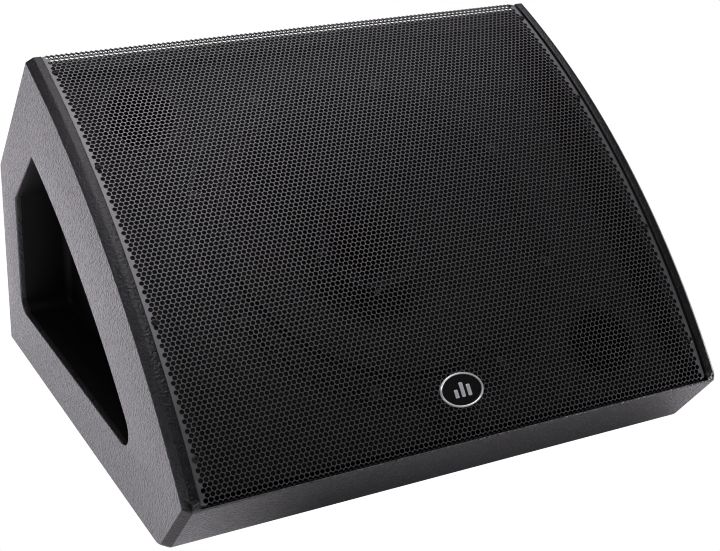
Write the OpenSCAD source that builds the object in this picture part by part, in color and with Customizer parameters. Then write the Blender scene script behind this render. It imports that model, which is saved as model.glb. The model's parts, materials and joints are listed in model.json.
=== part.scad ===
// Stage monitor wedge: a plywood floor monitor with a coaxial 15-inch driver behind a curved perforated grille.
// X runs across the cabinet, Y from the nose to the back, Z up. The origin is on the floor under the middle.

/* [Cabinet] */
// Overall width across both cheeks
width = 580; // [570:1:600]
// Overall depth from the nose to the upright back
depth = 512; // [508:1:520]
// Height of the top corner above the underside of the cabinet
crest_height = 359; // [355:1:362]
// Distance from the nose back to the top corner
crest_setback = 393.5; // [390:0.5:396]
// Height of the nose above the underside
nose_height = 73; // [71:1:75]
// How far the front strip leans back at the underside
toe_setback = 55.5; // [54:0.5:57]
// Angle of the rear slope from the horizontal
slope_angle = 52; // [51:0.5:53]
// Rise of the curved rim over its chord
rim_rise = 34.4; // [33:0.2:36]
// Thickness of each side cheek
cheek_t = 15; // [14:0.5:16]
// Chamfer along the cheek's curved rim and front
rim_chamfer = 7; // [5:0.5:8]
// Thickness of the bottom, back, slope and front boards
panel_t = 15; // [12:0.5:15]
// Thickness of the baffle
baffle_t = 18; // [15:0.5:18]
// Depth of the baffle's face behind the rim's chord
baffle_depth = 20; // [19:0.5:21]

/* [Side recess] */
// Distance of the recess's curved edge inside the rim
recess_rim_gap = 96.5; // [96:0.5:100]
// Height of the recess's lower edge above the underside
recess_bottom = 58; // [56:1:60]
// Distance of the recess's rear edge from the back
recess_back_gap = 50; // [48:1:54]
// Height of the recess's rear knee above the underside
recess_knee_height = 187.5; // [184:0.5:190]
// Angle of the recess's sloping edge from the horizontal
recess_slope_angle = 46; // [44:1:50]
// Depth of the recess from the cheek's face
recess_depth = 56; // [50:1:56]
// Depth of the cheek's own edge in front of the tray
recess_lip = 6; // [4:0.5:8]
// Wall thickness of the moulded tray
tray_wall = 4; // [3:0.5:4]

/* [Grille] */
// Thickness of the perforated sheet
grille_t = 1.2; // [1:0.1:1.5]
// How far the sheet's face lies below the cheek's rim
grille_sink = 1.5; // [1:0.1:2]
// Gap between the sheet and the left cheek
grille_left_gap = 0.6; // [0.4:0.1:1.5]
// Gap between the sheet and the right cheek
grille_right_gap = 2.4; // [1:0.1:3]
// Length of the folded lips at the top and the bottom of the sheet
grille_lip = 8; // [6:0.5:9]

/* [Driver] */
// Outer radius of the woofer's basket flange
basket_r = 190; // [188:1:192]
// Outer radius of the cone
cone_r = 158; // [156:1:158]
// Radius of the bolt circle
bolt_circle_r = 181; // [180:0.5:182]
// Number of bolts
bolt_count = 8; // [4:4:8]
// Half of the cone's travel
cone_travel = 6; // [2:1:6]

/* [Ports] */
// Inner radius of each port
port_r = 34; // [30:1:34]
// Sideways place of the ports' axes
port_x = 191; // [188:1:191]
// Place of the ports' axes up and down the baffle
port_s = 169; // [166:1:172]
// Length of each port tube
port_length = 55; // [40:1:56]

/* [Feet] */
// Radius of each rubber foot
foot_r = 15; // [12:1:18]
// Height of each rubber foot
foot_h = 6; // [4:1:8]

/* [Hidden] */

$fn = 96;
arc_fn = 180;      // large arcs
glue = 0.05;       // glue line between boards
fit = 0.02;        // bonded round surfaces

// Profile points, as [y, z]
nose = [-depth / 2, foot_h + nose_height];
crest = [nose.x + crest_setback, foot_h + crest_height];
toe = [nose.x + toe_setback, foot_h];
heel = [depth / 2, foot_h];
back_top = [heel.x, crest.y - (heel.x - crest.x) * tan(slope_angle)];

// The rim's chord: along it, out of it, and the centre of the rim's arc
chord = crest - nose;
chord_length = norm(chord);
chord_angle = atan2(chord.y, chord.x);
along = chord / chord_length;
outward = [-along.y, along.x];
mid = (nose + crest) / 2;
rim_r = (pow(chord_length / 2, 2) + pow(rim_rise, 2)) / (2 * rim_rise);
hub = mid - (rim_r - rim_rise) * outward;

// A profile point s along the chord from its middle and d behind it
function at(s, d) = mid + s * along - d * outward;
function unit(v) = v / norm(v);
function left_of(v) = [-v.y, v.x];
function cross2(a, b) = a.x * b.y - a.y * b.x;
// Where the line through p along v meets the line through q along w
function meet(p, v, q, w) = p + v * cross2(q - p, w) / cross2(v, w);
function polar(c, r, a) = c + r * [cos(a), sin(a)];
function angle_of(p) = atan2(p.y - hub.y, p.x - hub.x);

strip_dir = unit(toe - nose);
strip_in = left_of(strip_dir);
slope_dir = [cos(slope_angle), -sin(slope_angle)];
slope_in = -left_of(slope_dir);
nose_angle = angle_of(nose);
crest_angle = angle_of(crest);
nose_in = unit(hub - nose);

floor_top = foot_h + panel_t;
strip_inner = nose + panel_t * strip_in;
slope_inner = crest + panel_t * slope_in;
toe_inner = meet(strip_inner, strip_dir, [0, floor_top], [1, 0]);
back_inner_y = heel.x - panel_t;
ridge_inner = meet(slope_inner, slope_dir, [back_inner_y, 0], [0, 1]);

cheek_x = width / 2 - cheek_t;
board_half = cheek_x - glue;
slope_lip = 12;    // depth of the slope board's upper edge behind the chord
baffle_back = baffle_depth + baffle_t;

// Recess
recess_r = rim_r - recess_rim_gap;
recess_low = foot_h + recess_bottom;
recess_back = heel.x - recess_back_gap;
recess_knee = [recess_back, foot_h + recess_knee_height];
recess_slope_dir = [cos(recess_slope_angle), -sin(recess_slope_angle)];
recess_slope_in = -left_of(recess_slope_dir);
recess_corner = 18;
tray_flange = 14;
tray_out_x = width / 2 - recess_lip;
tray_in_x = width / 2 - recess_depth - tray_wall;
tray_floor_x = tray_in_x + tray_wall;

// Grille
sheet_r = rim_r - grille_sink;
grille_x0 = -cheek_x + grille_left_gap;
grille_x1 = cheek_x - grille_right_gap;
foot_gap_angle = 2.2 / rim_r * 180 / PI;
top_gap_angle = 0.6 / rim_r * 180 / PI;
grille_a0 = crest_angle + top_gap_angle;
grille_a1 = nose_angle - foot_gap_angle;
screw_x = 269;
screw_shares = [0.051, 0.314, 0.653, 0.910];
grille_screw_r = 1.9;

// Driver stations, as heights on its axis, where 0 is the rim's chord
flange_z = -baffle_depth + 4;
gasket_z = flange_z + 4;
cone_top_z = flange_z - 0.1;
neck_z = -90;
former_r = 38;
coil_in_r = former_r + 0.3;
gap_top_z = -112;
gap_low_z = -120;
magnet_low_z = -142;
yoke_low_z = -152;
hf_low_z = -206;
pole_r = 37.2;
spider_z = -96.6;
shelf_z = -97;

woofer_hole_r = 175;
bolt_r = 3;
port_wall = 3;
screw_fn = 32;

// Places a child drawn on the driver's own frame: Z out of the baffle, Y up the baffle
module on_chord(x = 0, s = 0, z = 0) {
    translate([0, mid.x, mid.y])
    rotate([chord_angle, 0, 0])
    translate([x, s, z])
        children();
}

// Places a child on the rim's arc at polar angle a, with Z out of the surface
module on_rim(x, r, a) {
    p = polar(hub, r, a);
    translate([x, p.x, p.y])
    rotate([a - 90, 0, 0])
        children();
}

// Extrudes a [y, z] profile along X, from x0 to x1
module across(x0, x1) {
    translate([x0, 0, 0])
    rotate([90, 0, 90])
    linear_extrude(x1 - x0)
        children();
}

// Spins an [r, x] profile about the rim's own axis
module about_hub(a0, a1) {
    translate([0, hub.x, hub.y])
    rotate([a0 - 90, 0, 0])
    rotate([0, 90, 0])
    rotate([0, 0, 180])
    rotate_extrude(angle = a1 - a0, $fn = arc_fn * 4)
        children();
}

module board(points, half = board_half) {
    across(-half, half) polygon(points);
}

module mirrored(side) {
    if (side < 0) mirror([1, 0, 0]) children();
    else children();
}

module ring(r0, r1, z0, z1) {
    translate([0, 0, z0])
    difference() {
        cylinder(r = r1, h = z1 - z0);
        translate([0, 0, -1]) cylinder(r = r0, h = z1 - z0 + 2);
    }
}

module disc(r, z0, z1) {
    translate([0, 0, z0]) cylinder(r = r, h = z1 - z0);
}

// A pan-headed screw whose head sits on z = 0
module pan_screw(head_r, head_h, shank_r, length) {
    cylinder(r = head_r, h = head_h, $fn = screw_fn);
    translate([0, 0, -length]) cylinder(r = shank_r, h = length, $fn = screw_fn);
}

// ---- Cabinet ----

// The corner of a recess edge that has to be cut away to round it: p is the corner, c the rounding's centre
module corner_waste(p, t0, t1, c, r) {
    difference() {
        polygon([p, t0, c, t1]);
        translate(c) circle(r = r, $fn = 64);
    }
}

// The recess's outline, grown by g on every side
module recess_outline(g = 0) {
    r = recess_r + g;
    k = recess_corner + g;
    low = recess_low - g;
    back = recess_back + g;
    slope = recess_knee - g * recess_slope_in;
    // Corners
    tip = [hub.x - sqrt(pow(r, 2) - pow(low - hub.y, 2)), low];
    rear = [back, low];
    knee = meet(slope, recess_slope_dir, rear, [0, 1]);
    // Centres of the roundings at the tip and at the rear corner
    tip_c = [hub.x - sqrt(pow(r - k, 2) - pow(low + k - hub.y, 2)), low + k];
    rear_c = rear + [-k, k];
    tip_touch = hub + r * unit(tip_c - hub);
    difference() {
        intersection() {
            translate(hub) circle(r = r, $fn = arc_fn * 4);
            polygon([tip + [-60, 0], rear, knee, slope - 200 * recess_slope_dir, tip + [-60, 300]]);
        }
        difference() {
            polygon([tip + [-20, -1], [tip_c.x, low - 1], tip_c, tip_touch + 8 * unit(tip_touch - tip_c)]);
            translate(tip_c) circle(r = k, $fn = 64);
        }
        corner_waste(rear + [1, -1], [rear_c.x, low - 1], [back + 1, rear_c.y], rear_c, k);
    }
}

// Places a child on the leaning front: Y down the strip, Z into the cabinet
module on_strip() {
    translate([0, nose.x, nose.y])
    rotate([atan2(strip_dir.y, strip_dir.x), 0, 0])
        children();
}

// The waste that leaves a chamfer down the cheek's leaning front edge
module front_chamfer() {
    edge = width / 2;
    on_strip()
    translate([0, 150, 0])
    rotate([90, 0, 0])
    linear_extrude(300)
        polygon([[edge - rim_chamfer - 1, -1], [edge + 1, rim_chamfer + 1], [edge + 1, -1]]);
}

// One cheek, drawn for the right-hand side
module cheek() {
    outer = width / 2;
    difference() {
        intersection() {
            about_hub(0, 360)
                polygon([
                    [0, cheek_x], [rim_r, cheek_x], [rim_r, outer - rim_chamfer],
                    [rim_r - rim_chamfer, outer], [0, outer]
                ]);
            across(cheek_x, outer) cheek_sides();
        }
        front_chamfer();
        across(cheek_x - 1, outer + 1) recess_outline();
        across(cheek_x - 1, tray_out_x) recess_outline(tray_wall + glue);
        tray_screw_sites() tray_pilot();
    }
}

// The cheek's straight sides; its curved rim is cut by the round blank
module cheek_sides() {
    polygon([toe, nose, nose - 80 * nose_in, crest - 60 * slope_dir, back_top, heel]);
}

module left_cheek() {
    color("#1c1c1e") mirrored(-1) cheek();
}

module right_cheek() {
    color("#1c1c1e") cheek();
}

module bottom_panel() {
    color("#202022")
    difference() {
        board([toe, heel, [heel.x, floor_top], toe_inner]);
        feet_sites() translate([0, 0, -1]) cylinder(r = 2, h = panel_t, $fn = screw_fn);
        board_sites() translate([0, 0, -10]) cylinder(r = 1.6, h = 11, $fn = screw_fn);
    }
}

module back_panel() {
    lift = [0, glue];
    color("#202022")
        board([
            [back_inner_y, floor_top] + lift, [heel.x, floor_top] + lift,
            back_top - lift, ridge_inner - lift
        ]);
}

module top_slope_panel() {
    low_outer = back_top;
    upper_outer = meet(crest, slope_dir, at(0, slope_lip), along);
    upper_inner = meet(slope_inner, slope_dir, at(0, slope_lip), along);
    color("#202022") board([low_outer, upper_outer, upper_inner, ridge_inner]);
}

module front_strip() {
    shift = -glue * strip_dir;
    top_inner = meet(strip_inner, strip_dir, nose, nose_in);
    color("#1c1c1e") board([toe + shift, toe_inner + shift, top_inner, nose]);
}

module baffle() {
    strip_face = strip_inner + glue * strip_in;
    slope_face = slope_inner + glue * slope_in;
    front = at(0, baffle_depth);
    back = at(0, baffle_back);
    color("#161617")
    difference() {
        board([
            meet(strip_face, strip_dir, front, along), meet(slope_face, slope_dir, front, along),
            meet(slope_face, slope_dir, back, along), meet(strip_face, strip_dir, back, along)
        ]);
        on_chord(z = -baffle_back - 1) cylinder(r = woofer_hole_r, h = baffle_t + 2);
        bolt_sites() translate([0, 0, -baffle_back - 1]) cylinder(r = 4, h = baffle_t + 2, $fn = screw_fn);
        port_sites() translate([0, 0, -baffle_back - 1]) cylinder(r = port_r + port_wall + glue, h = baffle_t + 2);
    }
}

// A curved batten along the inside of a cheek, which takes the grille's screws
module grille_cleat() {
    cleat_w = 16;
    difference() {
        across(board_half - cleat_w, board_half)
        intersection() {
            translate(hub) circle(r = sheet_r - grille_t - glue, $fn = arc_fn);
            polygon([
                at(-222, baffle_depth - glue), at(226, baffle_depth - glue), at(226, -50), at(-222, -50)
            ]);
        }
        grille_screw_sites() pilot_hole();
    }
}

module left_grille_cleat() {
    color("#262628") mirrored(-1) grille_cleat();
}

module right_grille_cleat() {
    color("#262628") grille_cleat();
}

// ---- Recess trays ----

module recess_tray() {
    flange_t = 3;
    difference() {
        union() {
            across(tray_in_x, tray_out_x) recess_outline(tray_wall);
            across(board_half - flange_t, board_half) recess_outline(tray_wall + tray_flange);
        }
        across(tray_floor_x, tray_out_x + 1) recess_outline();
        tray_screw_sites() translate([0, 0, -4]) cylinder(r = 2, h = 8, $fn = screw_fn);
    }
}

// The tray's screw sites on the right, with Z towards the inside of the cabinet
module tray_screw_sites() {
    gap = tray_wall + tray_flange / 2;
    sites = [
        [-40, recess_low - gap], [120, recess_low - gap], [recess_back + gap, recess_low + 90],
        recess_knee - gap * recess_slope_in - 50 * recess_slope_dir,
        polar(hub, recess_r + gap, 131), polar(hub, recess_r + gap, 120)
    ];
    for (p = sites) {
        translate([board_half - 3, p.x, p.y])
        rotate([0, -90, 0])
            children();
    }
}

module tray_pilot() {
    translate([0, 0, -13.5]) cylinder(r = 1.7, h = 13.5, $fn = screw_fn);
}

module left_recess_tray() {
    color("#0c0c0d") mirrored(-1) recess_tray();
}

module right_recess_tray() {
    color("#0c0c0d")
    difference() {
        recess_tray();
        connector_site() {
            for (x = [-1, 1]) {
                translate([x * socket_pitch / 2, 0, -tray_wall - 1]) cylinder(r = socket_r + 1, h = tray_wall + 2);
            }
            plate_screw_sites() translate([0, 0, -tray_wall - 1]) cylinder(r = 1.6, h = tray_wall + 2, $fn = screw_fn);
        }
    }
}

module tray_screws() {
    color("#333336")
    for (side = [-1, 1]) {
        mirrored(side) tray_screw_sites() pan_screw(3.2, 2, 1.65, 12.5);
    }
}

// ---- Grille and badge ----

// The grille's screw sites on the right, with Z out of the sheet
module grille_screw_sites() {
    for (share = screw_shares) {
        on_rim(screw_x, sheet_r, crest_angle + share * (nose_angle - crest_angle)) children();
    }
}

module pilot_hole() {
    translate([0, 0, -14]) cylinder(r = grille_screw_r + glue, h = 16, $fn = screw_fn);
}

module grille() {
    color("#1a1a1c")
    difference() {
        union() {
            about_hub(grille_a0, grille_a1)
                polygon([
                    [sheet_r - grille_t, grille_x0], [sheet_r, grille_x0],
                    [sheet_r, grille_x1], [sheet_r - grille_t, grille_x1]
                ]);
            sheet_lip(grille_a0, -1);
            sheet_lip(grille_a1, 1);
        }
        for (side = [-1, 1]) {
            mirrored(side) grille_screw_sites() pilot_hole();
        }
    }
}

// A lip folded into the cabinet at polar angle a, lying on the side away from the sheet's middle
module sheet_lip(a, side) {
    on_rim(grille_x0 + glue, sheet_r, a)
    translate([0, side > 0 ? glue : -grille_t, -grille_lip])
        cube([grille_x1 - grille_x0 - 2 * glue, grille_t - glue, grille_lip - grille_t / 2]);
}

module grille_screws() {
    color("#0e0e0f")
    for (side = [-1, 1]) {
        mirrored(side) grille_screw_sites() pan_screw(3.2, 1.6, grille_screw_r, 12);
    }
}

badge_half = [23, 16.5];
badge_lift = 49;
badge_base_t = 1.6;
badge_rim_t = 2.6;

// The badge's place on the sheet, with X across and Y up the sheet
module badge_site() {
    on_rim(0, sheet_r + fit, nose_angle - badge_lift / rim_r * 180 / PI) children();
}

module oval(grow) {
    scale([badge_half.x + grow, badge_half.y + grow]) circle(r = 1, $fn = 72);
}

module badge_plate() {
    color("#101011") badge_site() linear_extrude(badge_base_t) oval(-3);
}

module badge_rim() {
    color("#c9c9cc")
    badge_site()
    linear_extrude(badge_rim_t)
    difference() {
        oval(0);
        oval(-3 + glue);
    }
}

// Three level bars, the badge's plain generic device
module badge_bars() {
    bar_w = 4;
    pitch = 7;
    heights = [8, 14, 11];
    color("#d6d6d9")
    badge_site()
    for (i = [0 : 2]) {
        translate([(i - 1) * pitch - bar_w / 2, -7, badge_base_t + fit]) cube([bar_w, heights[i], 0.6]);
    }
}

// ---- Ports ----

// Upper left and lower right, on the baffle's own frame
module port_sites() {
    for (side = [-1, 1]) on_chord(side * port_x, -side * port_s) children();
}

module port_tube(side) {
    flange_r = port_r + 9;
    flange_t = 2.5;
    on_chord(side * port_x, -side * port_s)
    rotate_extrude()
        polygon([
            [port_r, -baffle_depth - port_length], [port_r + port_wall, -baffle_depth - port_length],
            [port_r + port_wall, -baffle_depth + glue], [flange_r, -baffle_depth + glue],
            [flange_r - 1, -baffle_depth + flange_t], [port_r + 2, -baffle_depth + flange_t],
            [port_r, -baffle_depth + flange_t - 2]
        ]);
}

module upper_port_tube() {
    color("#0f0f10") port_tube(-1);
}

module lower_port_tube() {
    color("#0f0f10") port_tube(1);
}

// ---- Low-frequency driver ----

module bolt_sites() {
    on_chord()
    for (i = [0 : bolt_count - 1]) {
        rotate([0, 0, (i + 0.5) * 360 / bolt_count]) translate([bolt_circle_r, 0, 0]) children();
    }
}

module woofer_basket() {
    seat_r = 165;
    window_count = 6;
    window_angle = 44;
    face = -baffle_depth + glue;
    color("#2a2a2c")
    difference() {
        on_chord()
        difference() {
            rotate_extrude()
                polygon([
                    [basket_r, flange_z], [basket_r, face], [174, face], [174, -26], [92, shelf_z - 3],
                    [92, gap_top_z + glue], [44, gap_top_z + glue], [44, gap_top_z + 4], [88, gap_top_z + 4],
                    [88, shelf_z - 3], [78, shelf_z - 3], [78, shelf_z], [87, shelf_z], [seat_r, -24],
                    [seat_r, flange_z]
                ]);
            for (i = [0 : window_count - 1]) {
                rotate([0, 0, i * 360 / window_count])
                rotate_extrude(angle = window_angle)
                    polygon([[90, -90], [200, -90], [200, -34], [90, -34]]);
            }
        }
        bolt_sites() translate([0, 0, -30]) cylinder(r = bolt_r + 0.4, h = 30, $fn = screw_fn);
    }
}

module woofer_gasket() {
    color("#0d0d0e")
    difference() {
        on_chord() ring(171.2, 188, flange_z + glue, gasket_z);
        bolt_sites() translate([0, 0, flange_z - 1]) cylinder(r = 7, h = 8, $fn = screw_fn);
    }
}

// The surround: a flat glued to the basket, a half roll and a flat glued to the cone
module woofer_surround() {
    skin = 0.8;
    roll_r = 4.4;
    roll_mid = cone_r + roll_r - 0.4;
    base = flange_z + glue;
    color("#101011")
    on_chord()
    rotate_extrude()
    union() {
        translate([roll_mid, base])
        intersection() {
            difference() {
                circle(r = roll_r);
                circle(r = roll_r - skin);
            }
            translate([-10, 0]) square([20, 10]);
        }
        translate([roll_mid + roll_r - skin, base]) square([171 - roll_mid - roll_r + skin, skin]);
        translate([cone_r - 5.4, base]) square([roll_mid - roll_r + skin - cone_r + 5.4, skin]);
    }
}

module woofer_cone() {
    paper = 0.9;
    lip = cone_r - 6;
    collar = coil_in_r + fit;
    color("#1d1d1f")
    on_chord()
    rotate_extrude()
        polygon([
            [cone_r, flange_z], [cone_r, flange_z - paper], [lip, flange_z - paper], [collar + 1.5, neck_z - paper],
            [collar, neck_z - paper], [collar, neck_z + 1.5], [lip, flange_z]
        ]);
}

module coil_former() {
    color("#b08d4f") on_chord() ring(former_r, coil_in_r, -124.5, neck_z + 3);
}

module voice_coil() {
    color("#b5651d") on_chord() ring(coil_in_r + fit, coil_in_r + 1.2, -124, -108);
}

// The spider: a corrugated disc from the coil former to the basket's shelf
module spider() {
    inner = coil_in_r + fit;
    wave_in = 41;
    wave_out = 77;
    cloth = 0.5;
    waves = 5;
    steps = 40;
    function wave(i) = 1.6 * sin(360 * waves * i / steps);
    function wave_r(i) = wave_in + (wave_out - wave_in) * i / steps;
    color("#c8a24a")
    on_chord()
    rotate_extrude()
        polygon(concat(
            [[inner, spider_z]],
            [for (i = [0 : steps]) [wave_r(i), spider_z + wave(i)]],
            [[86, spider_z], [86, spider_z + cloth]],
            [for (i = [steps : -1 : 0]) [wave_r(i), spider_z + wave(i) + cloth]],
            [[inner, spider_z + cloth]]
        ));
}

module top_plate() {
    color("#3a3b3e") on_chord() ring(40.4, 88, gap_low_z, gap_top_z);
}

module ferrite_magnet() {
    color("#4a4a4c") on_chord() ring(52, 98, magnet_low_z, gap_low_z - glue);
}

module pole_yoke() {
    throat = 14;
    color("#3a3b3e")
    difference() {
        on_chord()
        rotate_extrude()
            polygon([
                [throat, yoke_low_z], [88, yoke_low_z], [88, magnet_low_z - glue],
                [pole_r, magnet_low_z - glue], [pole_r, gap_top_z], [throat + 3, gap_top_z]
            ]);
        hf_bolt_sites() translate([0, 0, yoke_low_z - 1]) cylinder(r = 2, h = 9, $fn = screw_fn);
    }
}

// The horn on the pole, an exponential flare inside the cone
module hf_horn() {
    base = gap_top_z + glue;
    mouth_z = -38;
    throat = 17;
    mouth = 52;
    wall = 2.5;
    steps = 16;
    function flare(i) = throat * pow(mouth / throat, i / steps);
    function height(i) = base + (mouth_z - base) * i / steps;
    color("#141415")
    on_chord()
    rotate_extrude()
        polygon(concat(
            [for (i = [0 : steps]) [flare(i), height(i)]],
            [for (i = [steps : -1 : 1]) [flare(i) + wall, height(i)]],
            [[flare(1) + wall, base + 4], [34, base + 3], [34, base]]
        ));
}

terminal_angle = -90;

// The two terminals on the basket, at its lower side
module terminal_site() {
    on_chord()
    rotate([0, 0, terminal_angle])
    translate([93, 0, -106])
        children();
}

module basket_terminals() {
    color("#8a6d3b")
    terminal_site() {
        translate([0, -10, -4]) cube([5, 20, 8]);
        for (y = [-5, 5]) translate([5, y - 1.5, -3]) cube([7, 3, 0.8]);
    }
}

// Two flexible leads from the terminals to the coil former
module tinsel_leads() {
    lead_r = 0.8;
    path = [[96, -101.1], [109, -93], [108, -85], [84, -88], [60, -91], [48, -92.6], [39.3, -92.6]];
    color("#9a7a55")
    on_chord()
    rotate([0, 0, terminal_angle])
    for (y = [-5, 5]) {
        for (i = [0 : len(path) - 2]) {
            hull() {
                for (p = [path[i], path[i + 1]]) translate([p.x, y, p.y]) sphere(r = lead_r, $fn = 8);
            }
        }
    }
}

module woofer_screws() {
    color("#3c3c3f")
    bolt_sites() translate([0, 0, flange_z + glue]) pan_screw(5.5, 3.2, bolt_r, baffle_t + 8);
}

module woofer_tee_nuts() {
    color("#8c8c90")
    bolt_sites() {
        ring(bolt_r + glue, 3.9, -baffle_back - 1.5, -baffle_back + 10);
        ring(bolt_r + glue, 9, -baffle_back - 1.5, -baffle_back - fit);
    }
}

// ---- Compression driver, behind the yoke ----

module hf_bolt_sites() {
    on_chord()
    for (i = [0 : 3]) rotate([0, 0, 45 + 90 * i]) translate([52.5, 0, 0]) children();
}

module hf_front_plate() {
    color("#46474a")
    difference() {
        on_chord() ring(13.5, 56, -160, yoke_low_z - glue);
        hf_bolt_sites() translate([0, 0, -161]) cylinder(r = 2.2, h = 12, $fn = screw_fn);
    }
}

module hf_magnet() {
    color("#4a4a4c") on_chord() ring(27, 44, -175, -160 - glue);
}

module hf_top_plate() {
    color("#3a3b3e") on_chord() ring(23.4, 42, -180, -175 - glue);
}

module hf_pole() {
    color("#3a3b3e")
    on_chord()
    rotate_extrude()
        polygon([[13.5, -160 - glue], [21.6, -160 - glue], [21.6, -180], [10.5, -180]]);
}

hf_dome_r = 26;
hf_dome_edge = 22.6;
hf_dome_skin = 0.3;
hf_dome_z = -182.6 + sqrt(hf_dome_r * hf_dome_r - hf_dome_edge * hf_dome_edge);

// The phase plug: a cap just in front of the dome, with four curved slots into the throat
module phase_plug() {
    plug_r = 20.5;
    gap = 0.7;
    slot_count = 4;
    color("#c0c0c4")
    on_chord(z = hf_dome_z)
    difference() {
        rotate_extrude()
        intersection() {
            circle(r = hf_dome_r - hf_dome_skin - gap);
            translate([0, -40]) square([plug_r, 40 - 180 - fit - hf_dome_z]);
        }
        for (i = [0 : slot_count - 1]) {
            rotate([0, 0, i * 360 / slot_count])
            rotate_extrude(angle = 76)
            translate([6, -40]) square([1.6, 60]);
        }
    }
}

// A thin dome, with its edge bonded to the coil
module hf_diaphragm() {
    color("#b8bcc2")
    on_chord(z = hf_dome_z)
    rotate_extrude()
    intersection() {
        difference() {
            circle(r = hf_dome_r);
            circle(r = hf_dome_r - hf_dome_skin);
        }
        translate([0, -40]) square([hf_dome_edge, 40 - 182.6 - hf_dome_z]);
    }
}

module hf_voice_coil() {
    color("#b5651d") on_chord() ring(22.1, hf_dome_edge, -182.5, -175.5);
}

module hf_surround() {
    color("#8a6d3b") on_chord() ring(22.9, 40, -180.55, -180 - glue);
}

module hf_cover() {
    color("#242426")
    on_chord()
    rotate_extrude()
        polygon([
            [0, hf_low_z], [47, hf_low_z], [49, hf_low_z + 2], [49, -160 - glue], [46, -160 - glue],
            [46, -180.6], [30, -180.6], [30, -202], [0, -202]
        ]);
}

module hf_bolts() {
    color("#8c8c90")
    hf_bolt_sites()
    translate([0, 0, -160 - glue])
    mirror([0, 0, 1])
        pan_screw(2.9, 3, 1.95, 14);
}

// ---- Crossover, on the bottom panel ----

xover_half_w = 110;
xover_y = [130, 220];
standoff_h = 6;
board_t = 1.6;
board_top = floor_top + standoff_h + board_t;

// The board's four screws, with Z up from the bottom panel's upper face
module board_sites() {
    inset = 7;
    for (x = [-1, 1]) {
        for (y = [xover_y.x + inset, xover_y.y - inset]) {
            translate([x * (xover_half_w - inset), y, floor_top]) children();
        }
    }
}

module crossover_board() {
    color("#1f5a34")
    difference() {
        union() {
            translate([-xover_half_w, xover_y.x, board_top - board_t])
                cube([2 * xover_half_w, xover_y.y - xover_y.x, board_t]);
            translate([84, 160, board_top - 0.5]) cube([16, 30, 10]);
        }
        board_sites() cylinder(r = 1.7, h = 20, $fn = screw_fn);
    }
}

module board_standoffs() {
    color("#d8d4c8") board_sites() ring(1.7, 3.2, glue, standoff_h - glue);
}

module board_screws() {
    color("#8c8c90")
    board_sites()
    translate([0, 0, standoff_h + board_t + fit])
        pan_screw(2.8, 1.8, 1.5, 16);
}

module inductors() {
    color("#b5651d")
    for (x = [-72, -28]) {
        translate([x, 175, board_top + fit]) ring(8, 18, 0, 18);
    }
}

module capacitors() {
    pitch = 22;
    can_r = 9;
    color("#6d1f1f")
    for (i = [0 : 2]) {
        translate([14 + i * pitch, 150, board_top + can_r + fit])
        rotate([-90, 0, 0])
            cylinder(r = can_r, h = 42);
    }
}

module resistors() {
    color("#e4e1d8")
    for (x = [-60, 0]) {
        translate([x, 203, board_top + fit]) cube([48, 9, 9]);
    }
}

// ---- Connector plate, on the floor of the right recess ----

socket_pitch = 56;
socket_r = 12;
plate_half = [62, 36];
plate_t = 1.5;

module connector_site() {
    translate([tray_floor_x, 118, foot_h + 122])
    rotate([90, 0, 90])
        children();
}

module plate_screw_sites() {
    for (x = [-1, 1]) {
        for (y = [-1, 1]) {
            translate([x * (plate_half.x - 6), y * (plate_half.y - 6), 0]) children();
        }
    }
}

module connector_plate() {
    color("#232325")
    connector_site()
    difference() {
        translate([-plate_half.x, -plate_half.y, fit]) cube([2 * plate_half.x, 2 * plate_half.y, plate_t]);
        for (x = [-1, 1]) {
            translate([x * socket_pitch / 2, 0, -1]) cylinder(r = socket_r + 0.1, h = 4);
        }
        plate_screw_sites() translate([0, 0, -1]) cylinder(r = 1.6, h = 4, $fn = screw_fn);
    }
}

// A round four-pole speaker socket with a square flange and a centre post
module speaker_socket() {
    flange = [26, 31, 3];
    seat = plate_t + 2 * fit;
    difference() {
        union() {
            translate([-flange.x / 2, -flange.y / 2, seat]) cube(flange);
            translate([0, 0, -22]) cylinder(r = socket_r, h = 22 + seat + 1);
        }
        ring(4.8, 10.4, -18, 12);
    }
}

module speaker_sockets() {
    color("#131314")
    connector_site()
    for (x = [-1, 1]) {
        translate([x * socket_pitch / 2, 0, 0]) speaker_socket();
    }
}

module plate_screws() {
    color("#8c8c90")
    connector_site()
    plate_screw_sites()
    translate([0, 0, plate_t + 2 * fit])
        pan_screw(2.8, 1.6, 1.5, 7);
}

// ---- Wiring and wadding ----

module wire(path, r) {
    for (i = [0 : len(path) - 2]) {
        hull() {
            for (p = [path[i], path[i + 1]]) translate(p) sphere(r = r, $fn = 10);
        }
    }
}

module input_loom() {
    color("#8f1d1d")
        wire([[209, 146, 128], [190, 150, 92], [150, 170, 48], [103, 175, 34.5]], 2.2);
}

// Runs under the magnet to the basket's terminals
module woofer_loom() {
    plug = at(-107.5, 108.6);
    color("#27272b")
        wire([[-104, 175, 34], [-125, 110, 40], [-125, -20, 40], [-60, -75, 42], [0, plug.x, plug.y]], 2);
}

// Ends on the side of the compression driver's cover
module hf_loom() {
    plug = at(50.5, 190);
    color("#2b2b5e")
        wire([[30, 128, 31.5], [30, 118, 60], [12, plug.x, plug.y]], 1.6);
}

module back_wadding() {
    mat_t = 25;
    color("#55565a")
    translate([-212, back_inner_y - mat_t - 1, floor_top + 42])
        cube([424, mat_t, 110]);
}

module floor_wadding() {
    color("#55565a")
    translate([-212, -165, floor_top + 1])
        cube([424, 160, 12]);
}

// ---- Feet ----

// The four feet, with Z up from the underside of the cabinet
module feet_sites() {
    for (x = [-225, 225]) {
        for (y = [-156, 211]) translate([x, y, foot_h]) children();
    }
}

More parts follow.
